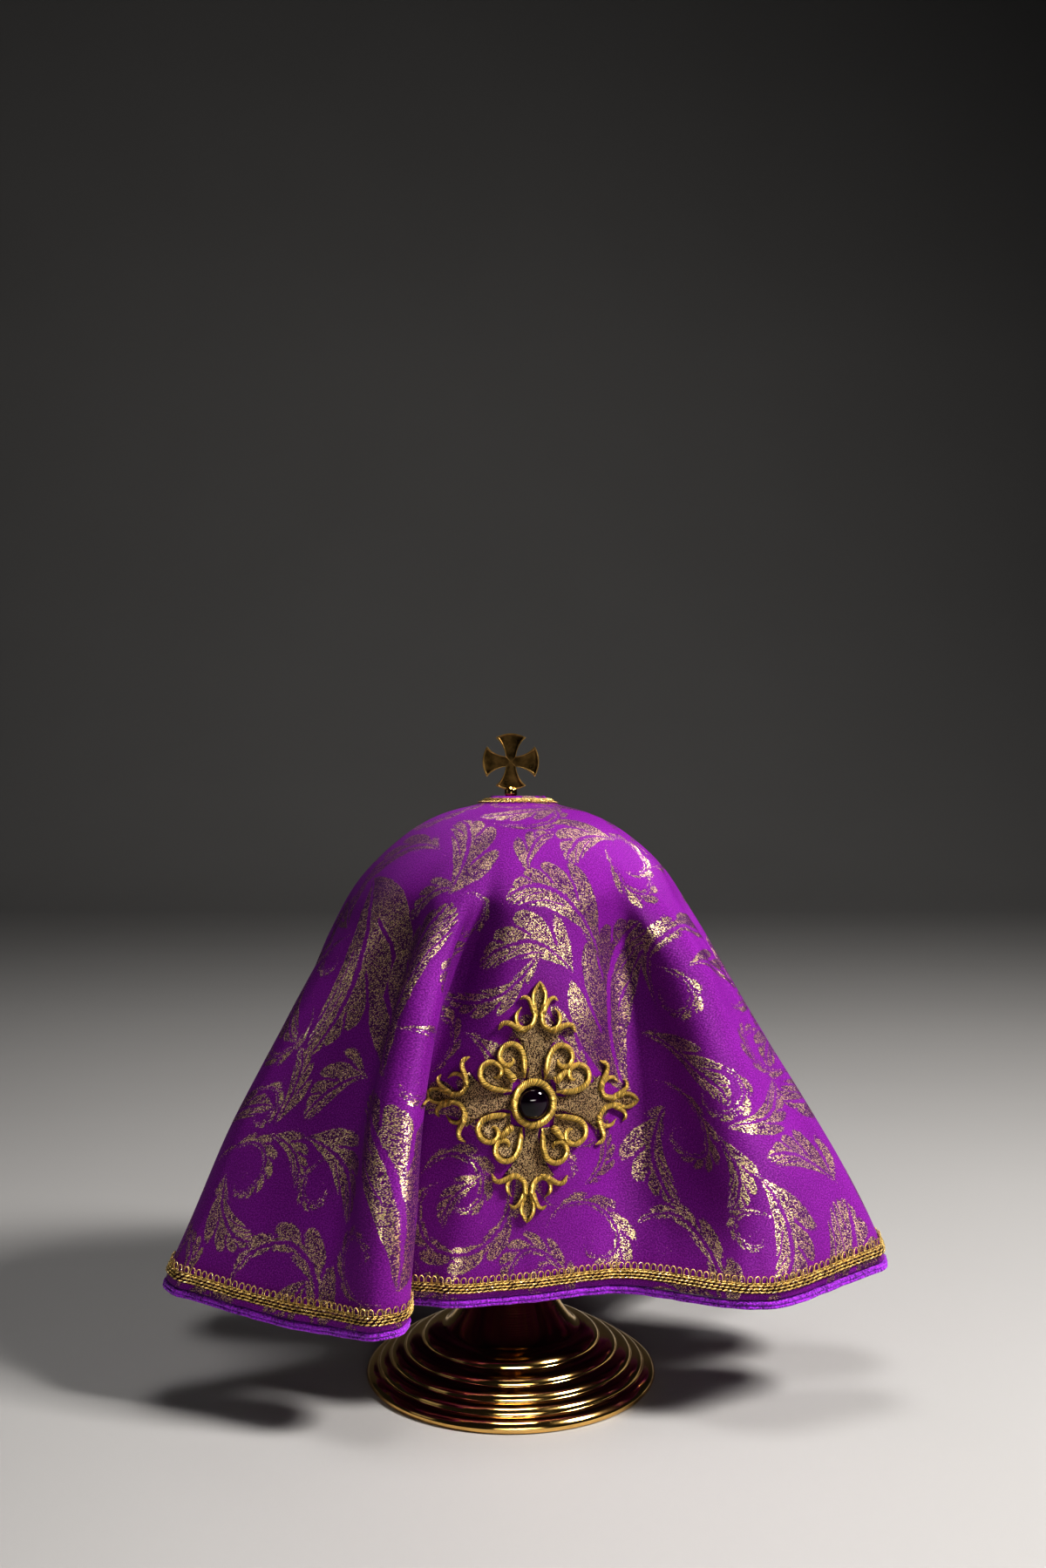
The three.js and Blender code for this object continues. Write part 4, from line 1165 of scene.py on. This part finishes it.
def build_cloth():
    """The brocade, outer face to inner, with its flat lay and its foliage marked on it."""
    Veil.hang()
    half = cloth_thickness() / 2
    rows, normals, flat = Veil.rows, Veil.normals, Veil.flat
    outer, inner = rows + normals * half, rows - normals * half
    up = Veil.hem[1]
    hem_round = rows[-1] - up * 0.0004
    neck_in = rows[0] - (rows[1] - rows[0]) * 0.2
    rings = np.concatenate([outer, hem_round[None], inner[::-1], neck_in[None]])
    lay = np.concatenate([flat, flat[-1:], flat[::-1], flat[:1]])
    points, faces = ring_of_rings(rings)
    piece = mesh_piece("brocade_cloth", points, faces)
    layer = piece.data.attributes.new("flat_lay", "FLOAT_VECTOR", "POINT")
    lay = np.concatenate([lay.reshape(-1, 2), np.zeros((len(points), 1))], axis=1)
    layer.data.foreach_set("vector", lay.astype(np.float32).ravel())
    corners = np.zeros(len(piece.data.loops), np.int32)
    piece.data.loops.foreach_get("vertex_index", corners)
    centres = lay[corners.reshape(-1, 4), :2].mean(axis=1) / MM
    for k, marks in enumerate(foliage_marks(centres)):
        for label, values in zip(("eye", "form", "widths"), marks):
            layer = piece.data.attributes.new(f"{label}_{k}", "FLOAT_VECTOR", "FACE")
            layer.data.foreach_set("vector", values.astype(np.float32).ravel())
    return finish_piece(piece, brocade_material(), "brocade", "veil_cloth")


def build_binding():
    """Velvet rolled over the hem's edge, in two soft rolls."""
    Veil.hang()
    edge, up, out = Veil.hem
    turns = np.linspace(0.15 * math.pi, 0.85 * math.pi, 8)
    outer = [(centre + radius * math.cos(turn), BINDING_PLUMP * radius * math.sin(turn))
             for centre, radius in BINDING_ROLLS for turn in turns]
    inner = [(height, -depth) for height, depth in reversed(outer)]
    section = outer + [(BINDING_FOLD, 0.0)] + inner + [(BINDING_TOP, 0.0)]
    rings = []
    for k, (height, depth) in enumerate(section):
        fuzz = 0.07 * np.sin(np.arange(len(edge)) * (2.3 + 0.37 * k) + k * 1.7)
        rings.append(edge + up * (height * MM) + out * ((depth + fuzz) * MM)[:, None])
    points, faces = ring_of_rings(rings)
    piece = mesh_piece("velvet_binding", points, faces)
    return finish_piece(piece, velvet_material(), "velvet_binding", "hem_binding")


def braid_parts(frames_at, length_at, face):
    """Three staggered rows of chain stitch on a narrow tape, under a row of upright loops."""
    parts = []
    count = round(length_at(4.4 * MM) / (CHAIN_STITCH * MM))
    for row in range(CHAIN_ROWS):
        middle = TAPE_LOW + CHAIN_FIRST + row * CHAIN_GAP
        frames = frames_at(count * 2, middle * MM)
        frames = tuple(values[row % 2::2] for values in frames)
        parts.append(stamp(*bead(2.3, 0.86, 0.8, lean=0.22, sides=5), frames, lift=face + 0.75 * MM))
    loops = round(length_at(7.8 * MM) / (LOOP_PITCH * MM))
    arch = smooth_path([(-0.85, -0.4, 0), (-1.0, 1.1, 0.1), (-0.55, 2.3, 0.2), (0.15, 2.75, 0.2),
                        (0.85, 2.2, 0.2), (1.0, 1.0, 0.1), (0.85, -0.4, 0)], 10)
    points, faces, _ = tube(arch * MM, [0.25 * MM] * len(arch), sides=5, up=(0, 0, 1.0))
    parts.append(stamp(points, faces, frames_at(loops, 6.4 * MM), lift=face + 0.45 * MM))
    heading = round(length_at(6.4 * MM) / (HEADING_PITCH * MM))
    parts.append(stamp(*bead(2.0, 0.6, 0.55, lean=0.12, sides=5), frames_at(heading, 6.35 * MM),
                       lift=face + 0.5 * MM))
    tape = []
    for height, lift in ((TAPE_HIGH, 0.5), (TAPE_LOW, 0.5), (TAPE_LOW, 0.02), (TAPE_HIGH, 0.02)):
        place, _, _, out = frames_at(TAPE_STEPS, height * MM)
        tape.append(place + out * (face + lift * MM))
    points, faces = ring_of_rings(tape)
    strand = np.zeros(points.shape)
    strand[:, 0] = np.tile(np.arange(TAPE_STEPS) * 3.0, 4)
    strand[:, 2] = TAPE_MARK
    parts.append((points, faces, strand))
    return joined(parts)


def build_hem_braid():
    Veil.hang()
    face = cloth_thickness() / 2 + 0.3 * MM
    points, faces, strand = braid_parts(Veil.hem_frames, Veil.hem_length, face)
    piece = mesh_piece("looped_hem_braid", points, faces, strand)
    return finish_piece(piece, braid_material(), "gold_braid", "hem_braid")


def build_neck_braid():
    """The same braid round the neck, with its chain rows inside and its loops outward."""
    inner = NECK_BRAID_INNER * MM

    def frames_at(count, height):
        radius = inner + (height - TAPE_LOW * MM) * NECK_BRAID_SPREAD
        turns = 2 * math.pi * np.arange(count) / count
        out = np.stack([np.cos(turns), np.sin(turns), 0 * turns], axis=1)
        along = np.stack([-np.sin(turns), np.cos(turns), 0 * turns], axis=1)

        def point_at(reach):
            place = out * reach + np.array([*NECK_OFFSET, 0]) * MM
            crown = crown_height(place[:, 0] / MM, place[:, 1] / MM)
            place[:, 2] = (crown + neck_rise(reach / MM - NECK_RADIUS)) * MM
            return place

        down = point_at(radius + 0.1 * MM) - point_at(radius - 0.1 * MM)
        down /= np.linalg.norm(down, axis=1, keepdims=True)
        place, along, down, face = squared_frames(
            point_at(radius), along, down, np.cross(down, along))
        return place, along, down * NECK_BRAID_SCALE, face

    face = cloth_thickness() / 2 + 0.1 * MM
    points, faces, strand = braid_parts(
        frames_at, lambda height: 2 * math.pi * (inner + height - TAPE_LOW * MM), face)
    piece = mesh_piece("looped_neck_braid", points, faces, strand)
    return finish_piece(piece, braid_material(), "gold_braid", "neck_braid")


def arm_place(arm, along, across):
    """A point of the cross's own plane, in front-view x and z, in metres."""
    turn = arm * math.pi / 2 - CROSS_LEAN
    x = along * math.cos(turn) - across * math.sin(turn)
    z = along * math.sin(turn) + across * math.cos(turn)
    return (CROSS_CENTRE[0] + x * CROSS_STRETCH[0]) * MM, (CROSS_CENTRE[1] + z * CROSS_STRETCH[1]) * MM


def laid_cord(arm, line, thickness, mirror=1, swap=False):
    """A raised cord of satin stitch laid on the cloth along a line of the cross's plane."""
    plan = smooth_path(line, max(8, int(3.2 * len(line))))
    path, ups = [], []
    for along, across in plan:
        if swap:
            along, across = across, along
        x, z = arm_place(arm, along, across * mirror)
        point, normal = Veil.panel_point(x, z)
        path.append(point)
        ups.append(normal)
    share = np.linspace(0, 1, len(path))
    radii = CORD_SCALE * (thickness[0] + (thickness[1] - thickness[0]) * share) * MM
    radii *= np.clip(1.15 * np.sin(np.clip(share * 9, 0.35, math.pi / 2)), 0, 1)
    radii *= np.sin(np.clip((1 - share) * 9, 0.35, math.pi / 2))
    path, ups = np.array(path), np.array(ups)
    path = path + ups * (0.35 * MM + radii * 0.75)[:, None]
    return tube(path, radii, sides=8, up=ups)


def laid_ground(arm, rows, lift=0.9):
    """A flat patch of stitched ground: rows of (along, half width) laid on the cloth."""
    across_steps = 8
    grid, strand = [], []
    for along, half in rows:
        line, marks = [], []
        for share in np.linspace(-1, 1, across_steps + 1):
            x, z = arm_place(arm, along, half * share)
            point, normal = Veil.panel_point(x, z)
            crown = lift * (0.75 + 0.25 * (1 - share * share))
            line.append(point + normal * crown * MM)
            turn = arm % 2
            marks.append((along, half * share, 0) if turn else (half * share, along, 0))
        under = [point_under(point) for point in (line[0], line[-1])]
        grid.append([under[0]] + line + [under[1]])
        strand.append([marks[0]] + marks + [marks[-1]])
    width = across_steps + 3
    faces = []
    for r in range(len(grid) - 1):
        for i in range(width - 1):
            a, b = r * width, (r + 1) * width
            faces.append((a + i, b + i, b + i + 1, a + i + 1))
    return np.array(grid).reshape(-1, 3), faces, np.array(strand, float).reshape(-1, 3)


def point_under(point):
    place, normal = Veil.panel_point(point[0], point[2])
    return place + normal * 0.3 * MM


def build_cross():
    """Cords and grounds of the four arms and of the scrolls between them, then the stone's ring."""
    Veil.hang()
    cords, grounds = [], []
    for arm in range(4):
        for line, thickness in ARM_CORDS:
            for mirror in (1, -1):
                cords.append(laid_cord(arm, line, thickness, mirror))
        cords.append(laid_cord(arm, *SCROLL_CORD))
        cords.append(laid_cord(arm, *SCROLL_CORD, swap=True))
        cords.append(laid_cord(arm, *BUD_CORD))
        grounds += [laid_ground(arm, rows) for rows in ARM_GROUNDS]
        grounds += [laid_scroll_ground(arm, swap) for swap in (False, True)]
    cord_piece = mesh_piece("cross_cords", *joined(cords))
    finish_piece(cord_piece, embroidery_material(), "gold_embroidery", "cross_applique")
    ground_piece = mesh_piece("cross_ground", *joined(grounds))
    finish_piece(ground_piece, embroidery_ground_material(), "gold_embroidery", "cross_applique")
    return build_stone_ring()


def laid_scroll_ground(arm, swap):
    """The filled heart of one scroll: a fan of rings inside its cord."""
    rings, strand = [], []
    outline = smooth_path(SCROLL_HEART, 30)[:-1]
    middle = outline.mean(axis=0)
    for share, lift in ((0.02, 1.0), (0.35, 1.0), (0.7, 0.95), (1.0, 0.75), (1.0, 0.3)):
        ring, marks = [], []
        for along, across in middle + (outline - middle) * share:
            if swap:
                along, across = across, along
            x, z = arm_place(arm, along, across)
            point, normal = Veil.panel_point(x, z)
            ring.append(point + normal * lift * MM)
            marks.append((along, across, 0))
        rings.append(ring)
        strand.append(marks)
    points = np.array(rings).reshape(-1, 3)
    faces = grid_faces(len(rings), len(outline))
    faces.append(tuple(range(len(outline))))
    return points, faces, np.array(strand, float).reshape(-1, 3)


def build_stone_ring():
    """The stitched ring that holds the stone, worked over with slanting stitches."""
    line, ups = [], []
    turns = np.linspace(0, 2 * math.pi, RING_STEPS)
    for turn in turns:
        x, z = arm_place(0, RING_RADIUS * math.cos(turn), RING_RADIUS * math.sin(turn))
        point, normal = Veil.panel_point(x, z)
        line.append(point + normal * RING_LIFT * MM)
        ups.append(normal)
    radii = [RING_THICKNESS * MM * (1 + 0.05 * math.sin(19 * turn)) for turn in turns]
    piece = mesh_piece("stone_ring", *tube(line, radii, sides=10, up=np.array(ups)))
    return finish_piece(piece, embroidery_material(), "gold_embroidery", "cross_applique")


def build_stone():
    """A round stone built in rings of facets, which are shaded smooth."""
    Veil.hang()
    x, z = arm_place(0, 0, 0)
    centre, _ = Veil.panel_point(x, z)
    right = Veil.panel_point(x + 6 * MM, z)[0] - Veil.panel_point(x - 6 * MM, z)[0]
    top = Veil.panel_point(x, z + 6 * MM)[0] - Veil.panel_point(x, z - 6 * MM)[0]
    normal = np.cross(right, top)
    normal /= np.linalg.norm(normal)
    side = right / np.linalg.norm(right)
    top = np.cross(normal, side)
    points, faces = [], []
    for size, lift, offset in STONE_PROFILE:
        for k in range(STONE_SIDES):
            turn = 2 * math.pi * (k + offset) / STONE_SIDES
            radius = STONE_RADIUS * MM * size
            points.append(centre + side * radius * math.cos(turn) + top * radius * math.sin(turn)
                          + normal * lift * MM)
    for r in range(len(STONE_PROFILE) - 1):
        a, b = r * STONE_SIDES, (r + 1) * STONE_SIDES
        offset_now, offset_next = STONE_PROFILE[r][2], STONE_PROFILE[r + 1][2]
        for k in range(STONE_SIDES):
            j = (k + 1) % STONE_SIDES
            if offset_now == offset_next:
                faces.append((a + k, a + j, b + j, b + k))
            elif offset_next > offset_now:
                faces += [(a + k, a + j, b + k), (a + j, b + j, b + k)]
            else:
                faces += [(a + k, a + j, b + j), (a + k, b + j, b + k)]
    faces.append(tuple(range(STONE_SIDES))[::-1])
    faces.append(tuple(range(len(points) - STONE_SIDES, len(points))))
    piece = mesh_piece("faceted_stone", points, faces)
    return finish_piece(piece, stone_material(), "dark_stone", "cross_stone")


def build_foot():
    profile = [(0, 0), (FOOT_FLAT_RADIUS, 0)]
    for outer, low, inner, high in FOOT_STEPS:
        profile += [(inner + (outer - inner) * math.cos(turn), low + (high - low) * math.sin(turn))
                    for turn in np.linspace(0, math.pi / 2, 7)]
    piece = turned_piece("stepped_foot", profile + STEM_PROFILE, 144)
    soften_edges(piece, 0.35 * MM, 3, 24)
    return finish_piece(piece, gilt_material(), "gilt_metal", "ciborium_foot")


def build_cup():
    piece = turned_piece("cup_bowl", CUP_PROFILE, 96)
    soften_edges(piece, 0.3 * MM, 2, 40)
    return finish_piece(piece, gilt_material(), "gilt_metal", "ciborium_cup")


def build_lid():
    """The hollow lid, a clearance under the cloth and thin at its rim."""
    def under_cloth(radius):
        clearance = LID_CLEARANCE_MIDDLE + LID_CLEARANCE_EDGE * (radius / LID_EDGE_RADIUS) ** 2
        return float(crown_height(-radius, 0)) - clearance

    outer = [(r, under_cloth(r)) for r in np.linspace(0, 55.6, 15)]
    low = LID_EDGE_HEIGHT - LID_EDGE_DEPTH
    edge = [(LID_EDGE_RADIUS, LID_EDGE_HEIGHT), (LID_EDGE_RADIUS, low), (LID_EDGE_RADIUS - 2, low)]
    under = [(r, under_cloth(r) - LID_WALL) for r in np.linspace(50, 0, 14)]
    piece = turned_piece("domed_lid", outer + edge + under, 96)
    soften_edges(piece, 0.4 * MM, 2, 40)
    return finish_piece(piece, gilt_material(), "gilt_metal", "ciborium_lid")


def build_finial():
    collar = turned_piece("finial_collar", COLLAR_PROFILE, 48)
    soften_edges(collar, 0.25 * MM, 3, 30)
    finish_piece(collar, gilt_material(), "gilt_metal", "lid_finial")
    piece = mesh_piece("finial_cross", *splayed_cross(), smooth=False)
    select_only(piece)
    face_outward(merge=True)
    soften_edges(piece, 0.12 * MM, 2, 40)
    return finish_piece(piece, painted_edges_casting_material(), "gilt_metal", "lid_finial")


def splayed_cross():
    """The flat cross with splayed arms inside a circle, its face sunk behind a raised edge."""
    span = math.radians(32.6)
    waist, sag = 2.1, 1.35
    tip = (FINIAL_RADIUS * math.cos(span), FINIAL_RADIUS * math.sin(span))
    bend = ((tip[0] + waist) / 2 + sag, (tip[1] + waist) / 2 - sag)
    shares = [0, 0.12, 0.25, 0.38, 0.5, 0.62, 0.74, 0.85, 0.925, 0.94, 1.0]
    across = [-1, -0.86, -0.83, -0.55, -0.28, 0, 0.28, 0.55, 0.83, 0.86, 1]
    half = FINIAL_THICKNESS / 2
    points, faces = [], []

    def corner(arm, share, side, y):
        edge_x = (1 - share) ** 2 * waist + 2 * share * (1 - share) * bend[0] + share ** 2 * tip[0]
        edge_y = (1 - share) ** 2 * waist + 2 * share * (1 - share) * bend[1] + share ** 2 * tip[1]
        bulge = math.sqrt(FINIAL_RADIUS ** 2 - (side * tip[1]) ** 2) - tip[0]
        x, z = edge_x + bulge * share ** 3, edge_y * side
        turn = arm * math.pi / 2
        points.append(((x * math.cos(turn) - z * math.sin(turn)) * MM, y * MM,
                       (FINIAL_HEIGHT + x * math.sin(turn) + z * math.cos(turn)) * MM))
        return len(points) - 1

    for arm in range(4):
        for face_side in (-1, 1):
            grid = []
            for share in shares:
                row = []
                for side in across:
                    sunk = FINIAL_SUNK if abs(side) < 0.84 and share < 0.93 else 0.0
                    row.append(corner(arm, share, side, face_side * (half - sunk)))
                grid.append(row)
            for r in range(len(shares) - 1):
                for i in range(len(across) - 1):
                    faces.append((grid[r][i], grid[r + 1][i], grid[r + 1][i + 1], grid[r][i + 1]))
        rim = [(share, -1) for share in shares] + [(1.0, side) for side in across[1:]]
        rim += [(share, 1) for share in reversed(shares[:-1])]
        near = [corner(arm, share, side, -half) for share, side in rim]
        far = [corner(arm, share, side, half) for share, side in rim]
        for i in range(len(rim) - 1):
            faces.append((near[i], near[i + 1], far[i + 1], far[i]))
    for y in (-half, half):
        centre = len(points)
        sunk = y - math.copysign(FINIAL_SUNK, y)
        points.append((0.0, sunk * MM, FINIAL_HEIGHT * MM))
        for arm in range(4):
            row = [corner(arm, 0, side, y if abs(side) > 0.84 else sunk) for side in across]
            inner = [corner(arm, 0, side, sunk) for side in across]
            for i in inner:
                x, depth, z = points[i]
                points[i] = (x * 0.8, depth, FINIAL_HEIGHT * MM + (z - FINIAL_HEIGHT * MM) * 0.8)
            faces += [(row[i], row[i + 1], inner[i + 1], inner[i]) for i in range(len(row) - 1)]
            faces += [(centre, inner[i], inner[i + 1]) for i in range(len(row) - 1)]
    return points, faces


def build_stage():
    """A pale floor that sweeps up behind, five area lights, a dim surround and the camera."""
    clear_selection()
    bpy.ops.mesh.primitive_plane_add(size=6.0, location=(0, 0, -0.0002))
    floor = bpy.context.object
    floor.name = "studio_floor"
    bpy.ops.object.mode_set(mode="EDIT")
    bpy.ops.mesh.select_all(action="DESELECT")
    bpy.ops.object.mode_set(mode="OBJECT")
    for edge in floor.data.edges:
        edge.select = all(floor.data.vertices[i].co.y > 2.9 for i in edge.vertices)
    bpy.ops.object.mode_set(mode="EDIT")
    bpy.ops.mesh.select_mode(type="EDGE")
    bpy.ops.mesh.extrude_region_move(TRANSFORM_OT_translate={"value": (0, 0, 3.2)})
    face_outward()
    bend = floor.modifiers.new("sweep", "BEVEL")
    bend.width = 1.2
    bend.segments = 16
    bend.limit_method = "ANGLE"
    bpy.ops.object.modifier_apply(modifier=bend.name)
    bpy.ops.object.transform_apply(location=True, rotation=True, scale=True)
    bpy.ops.object.shade_smooth()
    floor.data.materials.append(floor_material())

    add_light("key_softbox", (0.88, -0.42, 1.00), (0.02, 0, 0.15), (0.26, 0.26), 24.0,
              (1.0, 0.97, 0.94))
    add_light("overhead", (0.02, -0.10, 1.15), (0, 0, 0.15), (0.35, 0.35), 4.0, (1.0, 0.98, 0.97))
    add_light("front_window", (0.08, -0.72, 0.20), (0.0, -0.03, 0.0), (0.46, 0.09), 0.10,
              (1.0, 0.97, 0.9), 40)
    add_light("left_fill", (-1.1, -0.4, 0.4), (0, 0, 0.12), (0.4, 0.4), 0.12, (0.9, 0.92, 1.0))
    add_light("rear_rim", (-0.45, 0.8, 0.9), (0, 0, 0.16), (0.4, 0.3), 0.4, (1.0, 1.0, 1.0))

    world = bpy.data.worlds.new("studio_air")
    bpy.context.scene.world = world
    world.use_nodes = True
    air = world.node_tree.nodes["Background"]
    air.inputs["Color"].default_value = (0.85, 0.87, 0.92, 1.0)
    air.inputs["Strength"].default_value = 0.018

    clear_selection()
    bpy.ops.object.camera_add(location=CAMERA_PLACE, rotation=(math.pi / 2, 0, 0))
    camera = bpy.context.object
    camera.name = "photo_camera"
    camera.data.sensor_fit = "VERTICAL"
    camera.data.sensor_height = SENSOR_HEIGHT
    camera.data.lens = FOCAL_PIXELS / PHOTO_HEIGHT * SENSOR_HEIGHT
    camera.data.shift_x = SHIFT_PIXELS[0] / PHOTO_HEIGHT
    camera.data.shift_y = SHIFT_PIXELS[1] / PHOTO_HEIGHT
    camera.data.clip_start = 0.01
    bpy.context.scene.camera = camera
    bpy.context.scene.view_settings.view_transform = "Standard"
    bpy.context.scene.view_settings.look = "High Contrast"


def add_light(name, place, aim, size, power, tint, spread=180):
    clear_selection()
    bpy.ops.object.light_add(type="AREA", location=place)
    light = bpy.context.object
    light.name = name
    light.rotation_euler = (Vector(aim) - Vector(place)).to_track_quat("-Z", "Y").to_euler()
    light.data.shape = "RECTANGLE"
    light.data.size, light.data.size_y = size
    light.data.energy = power
    light.data.color = tint
    light.data.spread = math.radians(spread)


# The add-on

def colour_property(name, description, default):
    return bpy.props.FloatVectorProperty(
        name=name, description=description, default=default, size=3, min=0, max=1, subtype="COLOR")


class VeilSizes(bpy.types.PropertyGroup):
    cloth_thickness: bpy.props.FloatProperty(
        name="Cloth thickness", description="How thick the brocade is, face to back",
        default=0.0022, min=0.001, max=0.003, unit="LENGTH")
    flat_width: bpy.props.FloatProperty(
        name="Flat width", description="How wide the round cloth was cut",
        default=0.49, min=0.3, max=0.8, unit="LENGTH")


class VeilColours(bpy.types.PropertyGroup):
    brocade: colour_property(
        "Brocade ground", "The purple of the satin ground", (0.170, 0.006, 0.232))
    lurex: colour_property(
        "Metal thread", "The pale gold of the woven metal thread", (0.92, 0.72, 0.44))
    velvet: colour_property(
        "Velvet", "The violet of the rolled hem binding", (0.27, 0.025, 0.46))
    braid: colour_property(
        "Braid", "The gold of the hem and neck braid", (0.88, 0.64, 0.25))
    embroidery: colour_property(
        "Embroidery", "The yellow gold of the cross's raised cords", (0.98, 0.68, 0.19))
    gilt: colour_property(
        "Gilt", "The gold of the ciborium's metal", (0.93, 0.62, 0.24))


class VEIL_OT_cloth(bpy.types.Operator):
    """Hang the round brocade cloth over the lid"""
    bl_idname = "veil.cloth"
    bl_label = "Brocade cloth"

    def execute(self, context):
        build_cloth()
        return {"FINISHED"}


class VEIL_OT_trims(bpy.types.Operator):
    """Sew on the velvet binding and the looped gold braid at hem and neck"""
    bl_idname = "veil.trims"
    bl_label = "Binding and braid"

    def execute(self, context):
        build_binding()
        build_hem_braid()
        build_neck_braid()
        return {"FINISHED"}


class VEIL_OT_cross(bpy.types.Operator):
    """Embroider the cross on the front panel and set its stone"""
    bl_idname = "veil.cross"
    bl_label = "Embroidered cross"

    def execute(self, context):
        build_cross()
        build_stone()
        return {"FINISHED"}


class VEIL_OT_ciborium(bpy.types.Operator):
    """Turn the foot, the cup and the lid, and cast the finial"""
    bl_idname = "veil.ciborium"
    bl_label = "Ciborium"

    def execute(self, context):
        build_foot()
        build_cup()
        build_lid()
        build_finial()
        return {"FINISHED"}


class VEIL_OT_stage(bpy.types.Operator):
    """Lay the studio floor and set the lights and the camera"""
    bl_idname = "veil.stage"
    bl_label = "Floor, lights and camera"

    def execute(self, context):
        build_stage()
        return {"FINISHED"}


class VEIL_PT_panel(bpy.types.Panel):
    bl_label = "Ciborium veil"
    bl_idname = "VEIL_PT_panel"
    bl_space_type = "VIEW_3D"
    bl_region_type = "UI"
    bl_category = "Ciborium veil"

    def draw(self, context):
        column = self.layout.column()
        for name in VeilSizes.__annotations__:
            column.prop(context.scene.veil_sizes, name)
        for name in VeilColours.__annotations__:
            column.prop(context.scene.veil_colours, name)
        for operator in (VEIL_OT_cloth, VEIL_OT_trims, VEIL_OT_cross, VEIL_OT_ciborium, VEIL_OT_stage):
            column.operator(operator.bl_idname)


CLASSES = (VeilSizes, VeilColours, VEIL_OT_cloth, VEIL_OT_trims, VEIL_OT_cross, VEIL_OT_ciborium,
           VEIL_OT_stage, VEIL_PT_panel)


def register():
    for item in CLASSES:
        bpy.utils.register_class(item)
    bpy.types.Scene.veil_sizes = bpy.props.PointerProperty(type=VeilSizes)
    bpy.types.Scene.veil_colours = bpy.props.PointerProperty(type=VeilColours)


def unregister():
    del bpy.types.Scene.veil_sizes
    del bpy.types.Scene.veil_colours
    for item in reversed(CLASSES):
        bpy.utils.unregister_class(item)


def main():
    register()
    bpy.ops.veil.cloth()
    bpy.ops.veil.trims()
    bpy.ops.veil.cross()
    bpy.ops.veil.ciborium()
    bpy.ops.veil.stage()


if __name__ == "__main__":
    main()
